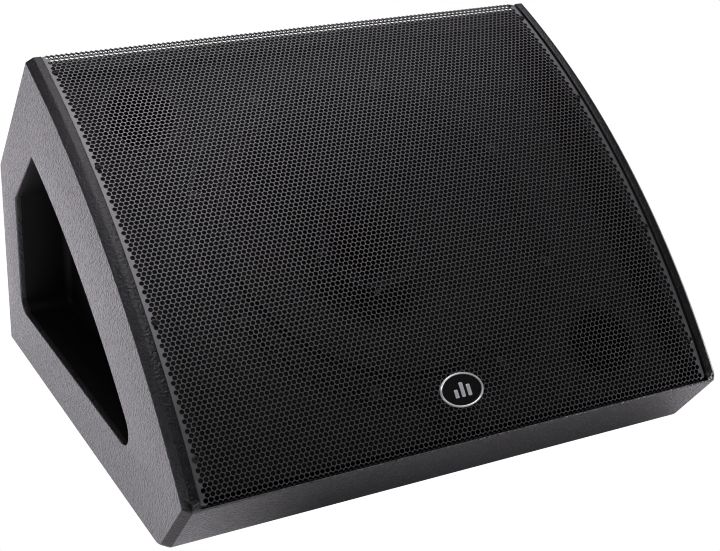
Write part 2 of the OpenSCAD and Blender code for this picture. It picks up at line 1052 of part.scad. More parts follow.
module rubber_feet() {
    seat_h = 3.5;
    color("#0b0b0c")
    feet_sites()
    translate([0, 0, -foot_h])
    difference() {
        cylinder(r = foot_r, h = foot_h - fit);
        translate([0, 0, -1]) cylinder(r = 6, h = seat_h + 1);
        cylinder(r = 2.2, h = foot_h + 1, $fn = screw_fn);
    }
}

module feet_screws() {
    seat_h = 3.5;
    color("#8c8c90")
    feet_sites()
    translate([0, 0, seat_h - foot_h - fit])
    mirror([0, 0, 1])
        pan_screw(5, 2.2, 1.9, 14);
}

left_cheek();
right_cheek();
bottom_panel();
back_panel();
top_slope_panel();
front_strip();
baffle();
left_grille_cleat();
right_grille_cleat();
left_recess_tray();
right_recess_tray();
tray_screws();
grille();
grille_screws();
badge_plate();
badge_rim();
badge_bars();
upper_port_tube();
lower_port_tube();
woofer_basket();
woofer_gasket();
woofer_surround();
woofer_cone();
coil_former();
voice_coil();
spider();
top_plate();
ferrite_magnet();
pole_yoke();
hf_horn();
basket_terminals();
tinsel_leads();
woofer_screws();
woofer_tee_nuts();
hf_front_plate();
hf_magnet();
hf_top_plate();
hf_pole();
phase_plug();
hf_diaphragm();
hf_voice_coil();
hf_surround();
hf_cover();
hf_bolts();
crossover_board();
inductors();
capacitors();
resistors();
board_standoffs();
board_screws();
connector_plate();
speaker_sockets();
plate_screws();
input_loom();
woofer_loom();
hf_loom();
back_wadding();
floor_wadding();
rubber_feet();
feet_screws();
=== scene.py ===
"""Stage monitor wedge: the visual model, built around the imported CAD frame, in metres."""
import json
import math

import bmesh
import bpy
import numpy as np
from mathutils import Matrix, Vector, noise
from mathutils.geometry import tessellate_polygon

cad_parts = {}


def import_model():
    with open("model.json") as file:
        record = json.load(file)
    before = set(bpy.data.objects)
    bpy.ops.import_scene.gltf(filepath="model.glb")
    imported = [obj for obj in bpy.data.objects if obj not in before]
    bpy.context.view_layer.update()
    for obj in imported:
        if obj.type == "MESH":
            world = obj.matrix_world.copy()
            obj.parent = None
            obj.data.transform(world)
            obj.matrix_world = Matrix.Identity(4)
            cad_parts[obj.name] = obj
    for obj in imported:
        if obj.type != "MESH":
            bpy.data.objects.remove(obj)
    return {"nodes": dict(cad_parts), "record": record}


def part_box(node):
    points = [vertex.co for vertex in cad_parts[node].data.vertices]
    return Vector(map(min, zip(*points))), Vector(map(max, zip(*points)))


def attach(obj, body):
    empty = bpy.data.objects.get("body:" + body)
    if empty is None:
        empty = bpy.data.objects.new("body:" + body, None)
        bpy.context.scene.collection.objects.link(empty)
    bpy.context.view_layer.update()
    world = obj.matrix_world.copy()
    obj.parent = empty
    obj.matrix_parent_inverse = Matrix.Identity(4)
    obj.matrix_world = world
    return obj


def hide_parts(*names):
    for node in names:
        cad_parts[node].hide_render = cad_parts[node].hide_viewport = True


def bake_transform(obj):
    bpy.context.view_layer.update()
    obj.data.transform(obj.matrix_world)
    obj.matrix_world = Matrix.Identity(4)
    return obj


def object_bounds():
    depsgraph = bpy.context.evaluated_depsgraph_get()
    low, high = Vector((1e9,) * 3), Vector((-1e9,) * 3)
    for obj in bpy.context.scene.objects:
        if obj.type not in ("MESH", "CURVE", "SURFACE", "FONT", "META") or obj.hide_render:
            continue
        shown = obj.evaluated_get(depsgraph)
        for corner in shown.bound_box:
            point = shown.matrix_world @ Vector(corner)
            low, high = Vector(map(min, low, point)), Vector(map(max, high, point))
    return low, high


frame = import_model()
CAD_BOX = [list(corner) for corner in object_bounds()]
MM = 0.001
TURN = 2 * math.pi

SLOT_OF = {part["node"]: part["material_slot"] for part in frame["record"]["subparts"]}
BODY_OF = {n: b for b, nodes in frame["record"]["behaviour"]["bodies"].items() for n in nodes}


# ---- Reading the frame ----

def points_of(obj):
    """An object's points, one in each row."""
    return np.array([v.co for v in obj.data.vertices], float)


def cad_points(node):
    return points_of(frame["nodes"][node])


def measured(points, axis, origin=Vector()):
    """How far each point lies along an axis from the origin."""
    return points @ np.array(axis) - origin.dot(axis)


def profile_point(node, direction):
    """The point of a CAD node that lies farthest along a direction, seen from the side as (y, z)."""
    d = Vector(direction)
    return max((v.co for v in frame["nodes"][node].data.vertices), key=lambda co: co.dot(d)).yz


def islands(node):
    """The separate solids of a CAD node, as one array of points for each."""
    mesh = frame["nodes"][node].data
    points = cad_points(node)
    _, first, same = np.unique(points.round(6), axis=0, return_index=True, return_inverse=True)
    same = same.ravel()
    group = np.arange(len(first))

    def root(i):
        while group[i] != i:
            group[i] = group[group[i]]
            i = group[i]
        return i

    for edge in mesh.edges:
        a, b = root(same[edge.vertices[0]]), root(same[edge.vertices[1]])
        group[a] = b
    roots = np.array([root(i) for i in range(len(first))])
    return [points[first[roots == r]] for r in np.unique(roots)]


def place(x, p):
    """A point at sideways place x on the profile point p."""
    return Vector((x, p.x, p.y))


def fractions(steps):
    """Even steps from 0 to 1."""
    return [k / steps for k in range(steps + 1)]


def polar(a):
    return Vector((math.cos(a), math.sin(a)))


def turn_left(v):
    return Vector((-v.y, v.x))


def cross2(a, b):
    return a.x * b.y - a.y * b.x


def meet(p, v, q, w):
    """Where the line through p along v meets the line through q along w."""
    return p + v * (cross2(q - p, w) / cross2(v, w))


NOSE = profile_point("front_strip", (0, -1, 0))
CREST = profile_point("left_cheek", (0, 0, 1))
TOE = profile_point("bottom_panel", (0, -1, 0))
HEEL = Vector((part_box("bottom_panel")[1].y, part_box("bottom_panel")[0].z))
BACK_TOP = profile_point("top_slope_panel", (0, 1, 0))
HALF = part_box("right_cheek")[1].x
CHEEK_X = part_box("right_cheek")[0].x
BOARD_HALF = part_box("bottom_panel")[1].x
CHEEK_T = HALF - CHEEK_X
PANEL_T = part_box("back_panel")[1].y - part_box("back_panel")[0].y

MID = (NOSE + CREST) / 2
ALONG = (CREST - NOSE).normalized()
OUTWARD = turn_left(ALONG)
RISE = profile_point("left_cheek", place(0, OUTWARD)).dot(OUTWARD) - MID.dot(OUTWARD)
RIM_R = ((CREST - NOSE).length_squared / 4 + RISE ** 2) / (2 * RISE)
HUB = MID - OUTWARD * (RIM_R - RISE)
STRIP_DIR = (TOE - NOSE).normalized()
STRIP_IN = turn_left(STRIP_DIR)
SLOPE_DIR = (BACK_TOP - CREST).normalized()
SLOPE_IN = -turn_left(SLOPE_DIR)
UP = Vector((0, 1))
LEVEL = Vector((1, 0))


class Frame:
    """A local frame: u and v across, n out."""

    def __init__(self, origin, u, v, n):
        self.origin, self.u, self.v, self.n = origin, u, v, n

    def at(self, a, b, c):
        return self.origin + self.u * a + self.v * b + self.n * c

    def moved(self, a=0, b=0, c=0):
        return Frame(self.at(a, b, c), self.u, self.v, self.n)


X_AXIS, Y_AXIS, Z_AXIS = Vector((1, 0, 0)), Vector((0, 1, 0)), Vector((0, 0, 1))
CHORD = Frame(place(0, MID), X_AXIS, place(0, ALONG), place(0, OUTWARD))


def rim_frame(x, point):
    """The frame on the rim's arc below a point of the profile, with n out of the surface."""
    n = (point - HUB).normalized()
    return Frame(place(x, point), X_AXIS, place(0, Vector((n.y, -n.x))), place(0, n))


# ---- Mesh building ----

class Shell:
    """Points and faces gathered ring by ring, then made into one object."""

    def __init__(self):
        self.points, self.faces = [], []

    def ring(self, points):
        """Adds points and gives back their numbers."""
        start = len(self.points)
        self.points.extend(points)
        return list(range(start, len(self.points)))

    def bridge(self, a, b, closed=True):
        """Joins two rings with faces, and leaves out those that would be less than a triangle."""
        n = len(a)
        for i in range(n if closed else n - 1):
            j = (i + 1) % n
            corners = tuple(dict.fromkeys((a[i], a[j], b[j], b[i])))
            if len(corners) > 2:
                self.faces.append(corners)

    def loft(self, rings, closed=True):
        for a, b in zip(rings, rings[1:]):
            self.bridge(a, b, closed)

    def cap(self, *rings):
        self.faces.extend(tuple(ring) for ring in rings)

    def holed(self, outer, inner):
        """Fills the flat face between an outline and a hole in it."""
        ids = outer + inner
        loops = [[self.points[i] for i in outer], [self.points[i] for i in inner]]
        self.faces.extend(tuple(ids[k] for k in t) for t in tessellate_polygon(loops))

    def object(self, name, angle=30):
        """The finished object, its normals out, smooth below the given angle."""
        mesh = bpy.data.meshes.new(name)
        mesh.from_pydata(self.points, [], self.faces)
        bm = bmesh.new()
        bm.from_mesh(mesh)
        bmesh.ops.remove_doubles(bm, verts=bm.verts, dist=1e-7)
        bmesh.ops.recalc_face_normals(bm, faces=bm.faces)
        bm.to_mesh(mesh)
        bm.free()
        mesh.shade_smooth()
        mesh.set_sharp_from_angle(angle=math.radians(angle))
        obj = bpy.data.objects.new(name, mesh)
        bpy.context.scene.collection.objects.link(obj)
        return obj


def revolve(shell, where, profile, segments=96, closed=False):
    """Adds a turned form: profile holds (radius, height); a radius may be a function of the angle."""
    rings = []
    for r, h in profile:
        if r == 0:
            rings.append(shell.ring([where.at(0, 0, h)]) * segments)
            continue
        angles = [TURN * k / segments for k in range(segments)]
        spokes = [(r(t) if callable(r) else r, t) for t in angles]
        rings.append(shell.ring([where.at(a * math.cos(t), a * math.sin(t), h) for a, t in spokes]))
    shell.loft(rings + rings[:1] if closed else rings)


def turned(name, where, profile, segments=96, closed=True):
    shell = Shell()
    revolve(shell, where, profile, segments, closed)
    return shell.object(name)


def fillet(before, corner, after, radius, steps=5):
    """The points that round a corner of an outline, from its arriving side to its leaving side."""
    a, b = (corner - before).normalized(), (after - corner).normalized()
    turn = math.atan2(cross2(a, b), a.dot(b))
    reach = radius * math.tan(abs(turn) / 2)
    side = math.copysign(1, turn)
    centre = corner - a * reach + turn_left(a) * radius * side
    spoke = corner - a * reach - centre
    angles = [turn * t for t in fractions(steps)]
    return [centre + spoke * math.cos(t) + turn_left(spoke) * math.sin(t) for t in angles]


def rectangle(half_u, half_v, radius, steps):
    """A rectangle's outline about the origin, with rounded corners."""
    corners = [Vector((su * half_u, sv * half_v)) for su, sv in ((1, 1), (-1, 1), (-1, -1), (1, -1))]
    trios = zip(corners[-1:] + corners[:-1], corners, corners[1:] + corners[:1])
    return [p for before, corner, after in trios for p in fillet(before, corner, after, radius, steps)]


def quarter(radius, steps=4):
    """(inset, drop) pairs that round an edge over, from its top to its side."""
    angles = [math.pi / 2 * t for t in fractions(steps)]
    return [(radius * (1 - math.sin(t)), radius * (1 - math.cos(t))) for t in angles]


# ---- Materials ----

class Nodes:
    """A node tree, with short ways to add nodes and to join them."""

    def __init__(self, tree):
        self.tree = tree

    def feed(self, value, socket):
        """Joins an output to a socket, or sets the socket to a plain value or a colour."""
        if isinstance(value, bpy.types.NodeSocket):
            self.tree.links.new(value, socket)
        elif value is not None:
            socket.default_value = (*value, 1) if isinstance(value, tuple) else value

    def node(self, kind, inputs=None, **settings):
        """A new shader node, with its settings made and its inputs fed."""
        made = self.tree.nodes.new("ShaderNode" + kind)
        for key, value in settings.items():
            setattr(made, key, value)
        for key, value in (inputs or {}).items():
            self.feed(value, made.inputs[key])
        return made

    def math(self, operation, a, b=None):
        return self.node("Math", {0: a, 1: b}, operation=operation).outputs[0]

    def vector(self, operation, a, b=None):
        made = self.node("VectorMath", {0: a, 1: b}, operation=operation)
        return made.outputs["Value" if operation == "DOT_PRODUCT" else "Vector"]

    def ramp(self, fac, span, low=0.3, high=0.7, curve="LINEAR"):
        inputs = {"Value": fac, "From Min": low, "From Max": high, "To Min": span[0], "To Max": span[1]}
        return self.node("MapRange", inputs, interpolation_type=curve).outputs["Result"]

    def along(self, coords, axis):
        """How far a point lies along one axis of a coordinate system."""
        return self.node("SeparateXYZ", {0: self.node("TexCoord").outputs[coords]}).outputs[axis]

    def white_to_camera(self, shader, white, output):
        """What lights the object may differ from the plain white that the camera sees."""
        seen = self.node("LightPath").outputs["Is Camera Ray"]
        mix = self.node("MixShader", {0: seen, 1: shader, 2: white})
        self.feed(mix.outputs["Shader"], self.tree.nodes[output].inputs["Surface"])


class Paint(Nodes):
    """A material: two mottled colours, a roughness that varies, and layers of bump."""

    def __init__(self, name, dark, light, scale, rough, metallic=0.0, specular=0.5):
        self.material = bpy.data.materials.new(name)
        self.material.use_nodes = True
        super().__init__(self.material.node_tree)
        self.inputs = self.tree.nodes["Principled BSDF"].inputs
        self.coords = self.node("TexCoord").outputs["Object"]
        self.colour = self.mix(self.noise(scale, 5), dark, light)
        self.normal = None
        self.set(Base_Color=self.colour, Roughness=self.ramp(self.noise(scale * 3, 3), rough))
        self.set(Metallic=metallic, Specular_IOR_Level=specular)

    def set(self, **values):
        for key, value in values.items():
            self.feed(value, self.inputs[key.replace("_", " ")])
        return self

    def noise(self, scale, detail=4, rough=0.55):
        inputs = {"Vector": self.coords, "Scale": scale, "Detail": detail, "Roughness": rough}
        return self.node("TexNoise", inputs).outputs["Fac"]

    def cells(self, scale, smooth=1.0):
        inputs = {"Vector": self.coords, "Scale": scale, "Smoothness": smooth}
        return self.node("TexVoronoi", inputs, feature="SMOOTH_F1").outputs["Distance"]

    def wave(self, scale, direction, distortion):
        inputs = {"Vector": self.coords, "Scale": scale, "Distortion": distortion, "Detail": 2}
        return self.node("TexWave", inputs, wave_type="BANDS", bands_direction=direction).outputs["Fac"]

    def mix(self, fac, a, b):
        return self.node("Mix", {"Factor": self.ramp(fac, (0, 1)), 6: a, 7: b}, data_type="RGBA").outputs[2]

    def bump(self, fac, height, strength=1.0):
        inputs = {"Height": fac, "Distance": height, "Strength": strength, "Normal": self.normal}
        self.normal = self.node("Bump", inputs).outputs["Normal"]
        return self.set(Normal=self.normal)

    def worn(self, tone):
        """A lighter grey along convex edges, broken up by noise."""
        edge = self.ramp(self.node("NewGeometry").outputs["Pointiness"], (0, 1), 0.53, 0.6)
        self.colour = self.mix(self.math("MULTIPLY", edge, self.noise(220, 4)), self.colour, grey(tone))
        return self.set(Base_Color=self.colour)


def grey(v, warmth=0.0):
    return (v * (1 + warmth), v, v * (1 - warmth))


def grained(name, dark, light, scale, rough, grain, detail, depth, worn=None, **finish):
    """A surface with one fine noise grain, and maybe worn edges."""
    p = Paint(name, dark, light, scale, rough, **finish)
    p.bump(p.noise(grain, detail), depth * MM)
    return p.worn(worn).material if worn else p.material


def moulded(name, dark, light, scale, rough, grain, depth, **finish):
    """Plastic with a spark-eroded grain of small cells."""
    p = Paint(name, dark, light, scale, rough, **finish)
    return p.bump(p.cells(grain), depth * MM, 0.6).material


def banded(name, dark, light, scale, rough, waves, depth, strength, **finish):
    """A surface with fine parallel bands; waves holds their scale, direction and distortion."""
    p = Paint(name, dark, light, scale, rough, **finish)
    return p.bump(p.wave(*waves), depth * MM, strength).material


ROUTED = 0.12               # painted shade along a chamfer, 0 none and 1 the darkest
RIM = 0.52                  # and along a cheek's rim


def textured_paint():
    """Rolled textured paint: rounded pebbles about 2 mm apart; painted shade makes it darker and less glossy
    where the painted_shade mark is set, and the bump is flatter there.
    """
    p = Paint("textured_paint", grey(0.012), grey(0.02), 90, (0.26, 0.36))
    # painted shade: where the mark is set, the gloss drops and the colour goes towards near black
    painted_shade = p.node("Attribute", attribute_name="painted_shade").outputs["Fac"]
    p.set(Specular_IOR_Level=p.ramp(painted_shade, (0.55, 0.1), 0, 1))
    p.bump(p.noise(420, 1, rough=0.4), 1.6 * MM, p.ramp(painted_shade, (1.0, 0.4), 0, ROUTED))
    p.bump(p.noise(1300, 2), 0.25 * MM)
    p.worn(0.09)
    return p.set(Base_Color=p.mix(painted_shade, p.colour, grey(0.004))).material


def grille_steel():
    """Matt powder coat and a very fine orange peel; the holes' walls and the folds get painted shade, a
    near-black colour and less gloss.
    """
    p = Paint("grille_steel", grey(0.055), grey(0.075), 140, (0.38, 0.46))
    p.bump(p.noise(1500, 3), 0.05 * MM, 0.7)
    # painted shade: where the surface doesn't face out from the hub, as in the holes' walls and the folded
    # lips, the colour is near black and the gloss low
    spoke = p.vector("MULTIPLY", p.vector("SUBTRACT", p.coords, place(0, HUB)), Vector((0, 1, 1)))
    surface = p.node("NewGeometry").outputs["True Normal"]
    facing = p.math("ABSOLUTE", p.vector("DOT_PRODUCT", p.vector("NORMALIZE", spoke), surface))
    p.set(Base_Color=p.mix(facing, grey(0.008), p.colour))
    return p.set(Specular_IOR_Level=p.ramp(facing, (0.1, 1.0))).material


def weave(name, dark, light, thread, rough, height):
    """Cloth of two crossed threads."""
    p = Paint(name, dark, light, 300, rough, specular=0.15)
    p.bump(p.wave(thread, "X", 0.6), height * MM, 0.8)
    return p.bump(p.wave(thread, "Y", 0.6), height * MM, 0.8).material


def cone_paper():
    """Pressed black pulp, made darker still as painted shade behind the grille: soft fibres and faint
    blotches.
    """
    p = Paint("cone_paper", grey(0.003), grey(0.006, 0.03), 110, (0.7, 0.9), specular=0.15)
    p.bump(p.noise(420, 6, rough=0.7), 0.25 * MM, 0.8)
    return p.bump(p.noise(2600, 3), 0.06 * MM).material


def ferrite():
    """Coarse pressed ceramic, chipped along its edges."""
    p = Paint("ferrite", grey(0.05), grey(0.085), 160, (0.62, 0.82))
    p.bump(p.noise(320, 6, rough=0.7), 0.25 * MM, 0.8)
    return p.worn(0.16).material


def board_green():
    """Solder mask with a faint net of tracks."""
    p = Paint("board_green", (0.012, 0.07, 0.025), (0.02, 0.11, 0.04), 70, (0.25, 0.4))
    return p.bump(p.cells(130, 0.05), 0.05 * MM, 0.5).set(Coat_Weight=0.3).material


def nylon():
    p = Paint("standoff_nylon", grey(0.62, 0.05), grey(0.74, 0.05), 200, (0.35, 0.5))
    return p.bump(p.noise(900, 2), 0.03 * MM).set(Subsurface_Weight=0.1).material


def fibre_mat():
    """Loose wadding: pale tangled fibres."""
    p = Paint("wadding", grey(0.16), grey(0.38), 240, (0.85, 1.0))
    return p.bump(p.noise(260, 8, rough=0.75), 1.2 * MM).set(Sheen_Weight=0.6).material


def sleeve(colour, dark, light):
    return grained("cable_" + colour, dark, light, 300, (0.4, 0.55), 600, 3, 0.08)


# Blender numbers a name that the frame's own materials have taken, so the key leaves the number out
MATERIALS = {made.name.split(".")[0]: made for made in (
    textured_paint(), grille_steel(), cone_paper(), ferrite(), board_green(), nylon(), fibre_mat(),
    # Cabinet and fittings
    # black paint, made darker still as painted shade behind the grille
    grained("baffle_paint", grey(0.014), grey(0.02), 60, (0.8, 0.95), 900, 4, 0.1, specular=0.0),
    banded("raw_batten", grey(0.007, 0.06), grey(0.014, 0.06), 30, (0.75, 0.9), (160, "X", 6), 0.15, 0.6,
           specular=0.2),
    # black plastic, made near black as painted shade in the recess
    moulded("tray_plastic", grey(0.001), grey(0.0022), 120, (0.5, 0.65), 900, 0.1, specular=0.1),
    # black plastic, made near black as painted shade inside the port
    moulded("port_plastic", grey(0.002), grey(0.004), 200, (0.55, 0.7), 1400, 0.06, specular=0.2),
    moulded("socket_plastic", grey(0.014), grey(0.022), 260, (0.35, 0.5), 1500, 0.04),
    grained("black_screw", grey(0.01), grey(0.022), 900, (0.35, 0.5), 2500, 3, 0.04, worn=0.12,
            metallic=0.2, specular=0.3),
    grained("plain_screw", grey(0.42), grey(0.6, 0.02), 700, (0.25, 0.42), 2200, 3, 0.03, metallic=1),
    grained("badge_black", grey(0.006), grey(0.012), 400, (0.12, 0.22), 900, 2, 0.01),
    grained("badge_silver", grey(0.85), grey(0.95), 500, (0.16, 0.26), 3500, 2, 0.012, metallic=0.5),
    grained("plate_steel", grey(0.022), grey(0.034), 260, (0.32, 0.45), 1300, 3, 0.05, worn=0.12),
    grained("foot_rubber", grey(0.012), grey(0.022), 150, (0.62, 0.82), 800, 5, 0.1, worn=0.06),
    # Drivers
    # black cast frame, gasket and surround, made darker still as painted shade behind the grille
    grained("cast_frame", grey(0.004), grey(0.008), 150, (0.6, 0.8), 1100, 4, 0.08, worn=0.05, specular=0.15),
    grained("gasket_rubber", grey(0.003), grey(0.005), 200, (0.7, 0.85), 1500, 4, 0.06, specular=0.15),
    weave("surround_cloth", grey(0.003), grey(0.005), 80, (0.5, 0.68), 0.1),
    weave("spider_cloth", (0.36, 0.22, 0.06), (0.55, 0.37, 0.13), 55, (0.55, 0.72), 0.15),
    grained("former_film", (0.04, 0.024, 0.009), (0.07, 0.042, 0.016), 250, (0.28, 0.42), 900, 2, 0.02),
    grained("surround_film", (0.3, 0.2, 0.07), (0.46, 0.32, 0.13), 250, (0.28, 0.42), 900, 2, 0.02),
    banded("copper_wire", (0.42, 0.14, 0.05), (0.68, 0.28, 0.1), 500, (0.25, 0.4), (90, "Z", 0.3), 0.12, 0.9,
           metallic=0.9),
    grained("motor_steel", grey(0.12), grey(0.2, 0.02), 120, (0.32, 0.5), 1600, 3, 0.03, worn=0.34,
            metallic=0.9),
    grained("horn_plastic", grey(0.003), grey(0.005), 200, (0.5, 0.65), 1200, 3, 0.03, specular=0.15),
    banded("plug_metal", grey(0.496), grey(0.62), 240, (0.22, 0.36), (200, "X", 1.5), 0.01, 0.4, metallic=1),
    banded("dome_metal", grey(0.56), grey(0.7), 240, (0.18, 0.3), (200, "X", 1.5), 0.01, 0.4, metallic=1),
    # Wiring and the crossover
    grained("terminal_brass", (0.45, 0.3, 0.1), (0.62, 0.45, 0.2), 400, (0.28, 0.45), 1500, 3, 0.02,
            metallic=1),
    banded("capacitor_film", (0.2, 0.03, 0.02), (0.34, 0.06, 0.04), 120, (0.18, 0.3), (40, "Y", 1.2),
           0.06, 0.6),
    grained("resistor_cement", grey(0.55, 0.03), grey(0.72, 0.03), 260, (0.75, 0.9), 700, 5, 0.15),
    sleeve("red", (0.2, 0.012, 0.01), (0.34, 0.03, 0.02)),
    sleeve("black", grey(0.012), grey(0.024)),
    sleeve("blue", (0.015, 0.02, 0.14), (0.03, 0.045, 0.24)),
)}


def dress(obj, slot):
    """Gives an object the material of a slot."""
    if obj.material_slots:
        for material_slot in obj.material_slots:
            material_slot.material = MATERIALS[slot]
    else:
        obj.data.materials.append(MATERIALS[slot])


def stand_for(obj, *nodes):
    """obj takes the place, body and material of the CAD nodes it stands for."""
    slot = SLOT_OF[nodes[0]]
    dress(obj, slot)
    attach(obj, BODY_OF[nodes[0]])
    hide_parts(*nodes)
    return obj


# ---- Cabinet ----

EDGE_R = 1.6 * MM          # rounding of painted edges
CHAMFER = 7 * MM           # chamfer along the rim and the front
CHAMFER_SOFT = 2 * MM      # rounding along both edges of the chamfer
RIM_EDGE = 0.7 * MM        # rounding of the rim beside the grille
NOSE_R = 5 * MM            # rounding where the rim turns into the front
TOE_R = 20 * MM            # rounding under the front
BUTT_R = 1.2 * MM          # rounding of the boards' edges beside the grille
ARC_STEPS = 150


def circle_meet(p, v, r):
    """Where the line through p along v crosses the hub's circle of radius r, near p."""
    w = p - HUB
    b, c = w.dot(v), w.length_squared - r * r
    root = math.sqrt(b * b - c)
    return p + v * min((-b - root, -b + root), key=abs)


def arc_between(a, b, r, steps):
    """Points on the hub's circle from a to b, both left out."""
    start = math.atan2(a.y - HUB.y, a.x - HUB.x)
    end = math.atan2(b.y - HUB.y, b.x - HUB.x)
    return [HUB + polar(start + (end - start) * t) * r for t in fractions(steps)[1:-1]]


def cheek_outline(rim_in, front_in, rest_in):
    """The cheek's outline, with its rim, its front and its other sides moved in by these amounts."""
    r = RIM_R - rim_in
    front, slope = NOSE + STRIP_IN * front_in, CREST + SLOPE_IN * rest_in
    low, back = HEEL + UP * rest_in, HEEL - LEVEL * rest_in
    toe = meet(front, STRIP_DIR, low, LEVEL)
    nose = circle_meet(front, STRIP_DIR, r)
    crest = circle_meet(slope, SLOPE_DIR, r)
    back_top = meet(slope, SLOPE_DIR, back, UP)
    heel = meet(low, LEVEL, back, UP)
    rim = arc_between(nose, crest, r, ARC_STEPS)
    shrink = max(0.2, 1 - rim_in / (2 * CHAMFER))
    nose_arc = fillet(toe, nose, rim[0], NOSE_R * shrink, 6)
    crest_arc = fillet(rim[-1], crest, back_top, EDGE_R, 4)
    outline = fillet(heel, toe, nose, TOE_R, 6) + nose_arc
    outline += arc_between(nose_arc[-1], crest_arc[0], r, ARC_STEPS) + crest_arc
    return outline + fillet(crest, back_top, heel, EDGE_R, 4) + fillet(back_top, heel, toe, EDGE_R, 4)


# Recess: the same driving sizes as the CAD part
RECESS_RIM_GAP = 96.5 * MM
RECESS_CORNER = 18 * MM
RECESS_SLOPE = math.radians(46)
FLANGE_REACH = 18 * MM      # from the recess's outline to the edge of the tray's flange
RECESS_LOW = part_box("right_recess_tray")[0].z + FLANGE_REACH
RECESS_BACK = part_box("right_recess_tray")[1].y - FLANGE_REACH
KNEE = Vector((RECESS_BACK, RECESS_LOW + 129.5 * MM))
TRAY_OUT_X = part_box("right_recess_tray")[1].x
TRAY_IN_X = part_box("right_recess_tray")[0].x
TRAY_WALL = 4 * MM
GLUE = 0.05 * MM            # gap between pieces that are glued or lie flat together


def recess_outline(grow=0.0, arc_steps=70, corner_steps=10):
    """The recess's outline moved out by grow, from the tip's rounding round by the rim's side."""
    r, k = RIM_R - RECESS_RIM_GAP + grow, RECESS_CORNER + grow
    rear = Vector((RECESS_BACK + grow, RECESS_LOW - grow))
    slope_dir = Vector((math.cos(RECESS_SLOPE), -math.sin(RECESS_SLOPE)))
    slope = KNEE + turn_left(slope_dir) * grow
    top = circle_meet(slope - slope_dir * 150 * MM, slope_dir, r)
    knee = meet(slope, slope_dir, rear, UP)
    tip_y = rear.y + k
    tip_c = Vector((HUB.x - math.sqrt((r - k) ** 2 - (tip_y - HUB.y) ** 2), tip_y))
    tip_touch = HUB + (tip_c - HUB).normalized() * r
    start = math.atan2(-1, 0)
    end = math.atan2(tip_touch.y - tip_c.y, tip_touch.x - tip_c.x) - TURN
    tip = [tip_c + polar(start + (end - start) * t) * k for t in fractions(corner_steps)]
    soft = 2.5 * MM + grow * 0.5
    rim = arc_between(tip_touch, top, r, arc_steps)
    crown = fillet(rim[-2], top, knee, soft, 4)
    rim = [p for p in rim if (p - top).length > (crown[0] - top).length + 0.5 * MM]
    while len(rim) < arc_steps - 1:
        rim.append(rim[-1].lerp(crown[0], 0.5))
    return tip + rim + crown + fillet(top, knee, rear, soft, 4) + fillet(knee, rear, tip[0], k, corner_steps)


def mark_painted_shade(obj, painted_shade):
    """Writes the painted shade at each vertex, 0 none and 1 the darkest."""
    marks = obj.data.attributes.new("painted_shade", "FLOAT", "POINT")
    for vertex, mark in zip(obj.data.vertices, marks.data):
        mark.value = painted_shade(vertex.co)


def cheek(name, side):
    """One cheek board: chamfered rim and front, a rounded-over recess, and a rebate behind for the tray."""
    shell = Shell()

    def ring(points, depth):
        return shell.ring([place(side * (CHEEK_X + depth), p) for p in points])

    # Depth from the board's inner face, and how far the outline is moved in there
    inner, outer = Vector((CHEEK_T - CHAMFER, 0)), Vector((CHEEK_T, CHAMFER))
    path = fillet(Vector((0, 0)), inner, outer, CHAMFER_SOFT, 4)
    path.append(Vector((CHEEK_T - EDGE_R, CHAMFER - EDGE_R)))
    path += fillet(inner, outer, Vector((CHEEK_T, 2 * CHAMFER)), CHAMFER_SOFT, 4)
    edge = sorted((drop, inset) for inset, drop in quarter(RIM_EDGE, 3))
    rings = [ring(cheek_outline(inset, 0, 0), depth) for depth, inset in edge]
    for depth, inset in path:
        over = max(0.0, depth - (CHEEK_T - EDGE_R))
        rest_in = EDGE_R - math.sqrt(max(0.0, EDGE_R ** 2 - over ** 2))
        rings.append(ring(cheek_outline(inset, inset, rest_in), depth))
    shell.loft(rings)

    lip_depth = TRAY_OUT_X - CHEEK_X
    hole = [ring(recess_outline(inset), CHEEK_T - drop) for inset, drop in quarter(EDGE_R)]
    for grow, depth in ((0, lip_depth), (TRAY_WALL + GLUE, lip_depth), (TRAY_WALL + GLUE, 0)):
        hole.append(ring(recess_outline(grow), depth))
    shell.loft(hole)
    shell.holed(rings[-1], hole[0])
    shell.holed(rings[0], hole[-1])

    def painted_shade(v):
        """No painted shade on the flat side nor on the rim by the strip, a little along the chamfer, more
        along the rim, the inner face and the recess, and the darkest on the chamfer by the strip.
        """
        by_strip = (v.yz - NOSE).dot(STRIP_IN) < CHAMFER * 1.1
        if abs(v.x) > HALF - GLUE:
            return 0.0
        if abs(v.x) > HALF - CHAMFER - GLUE:
            return 1.0 if by_strip else ROUTED
        return 0.0 if by_strip else RIM

    mark_painted_shade(stand_for(shell.object(name, 25), name), painted_shade)


def board(name, painted, shaded_outline):
    """A board cut to a profile, from cheek to cheek: its painted outline, then the outline given the darkest
    painted shade.
    """
    shell = Shell()
    ends = [shell.ring([place(x, p) for p in painted + shaded_outline]) for x in (-BOARD_HALF, BOARD_HALF)]
    shell.loft(ends)
    shell.cap(*ends)
    obj = stand_for(shell.object(name, 25), name)
    mark_painted_shade(obj, lambda v: float(any((v.yz - p).length < 0.01 * MM for p in shaded_outline)))


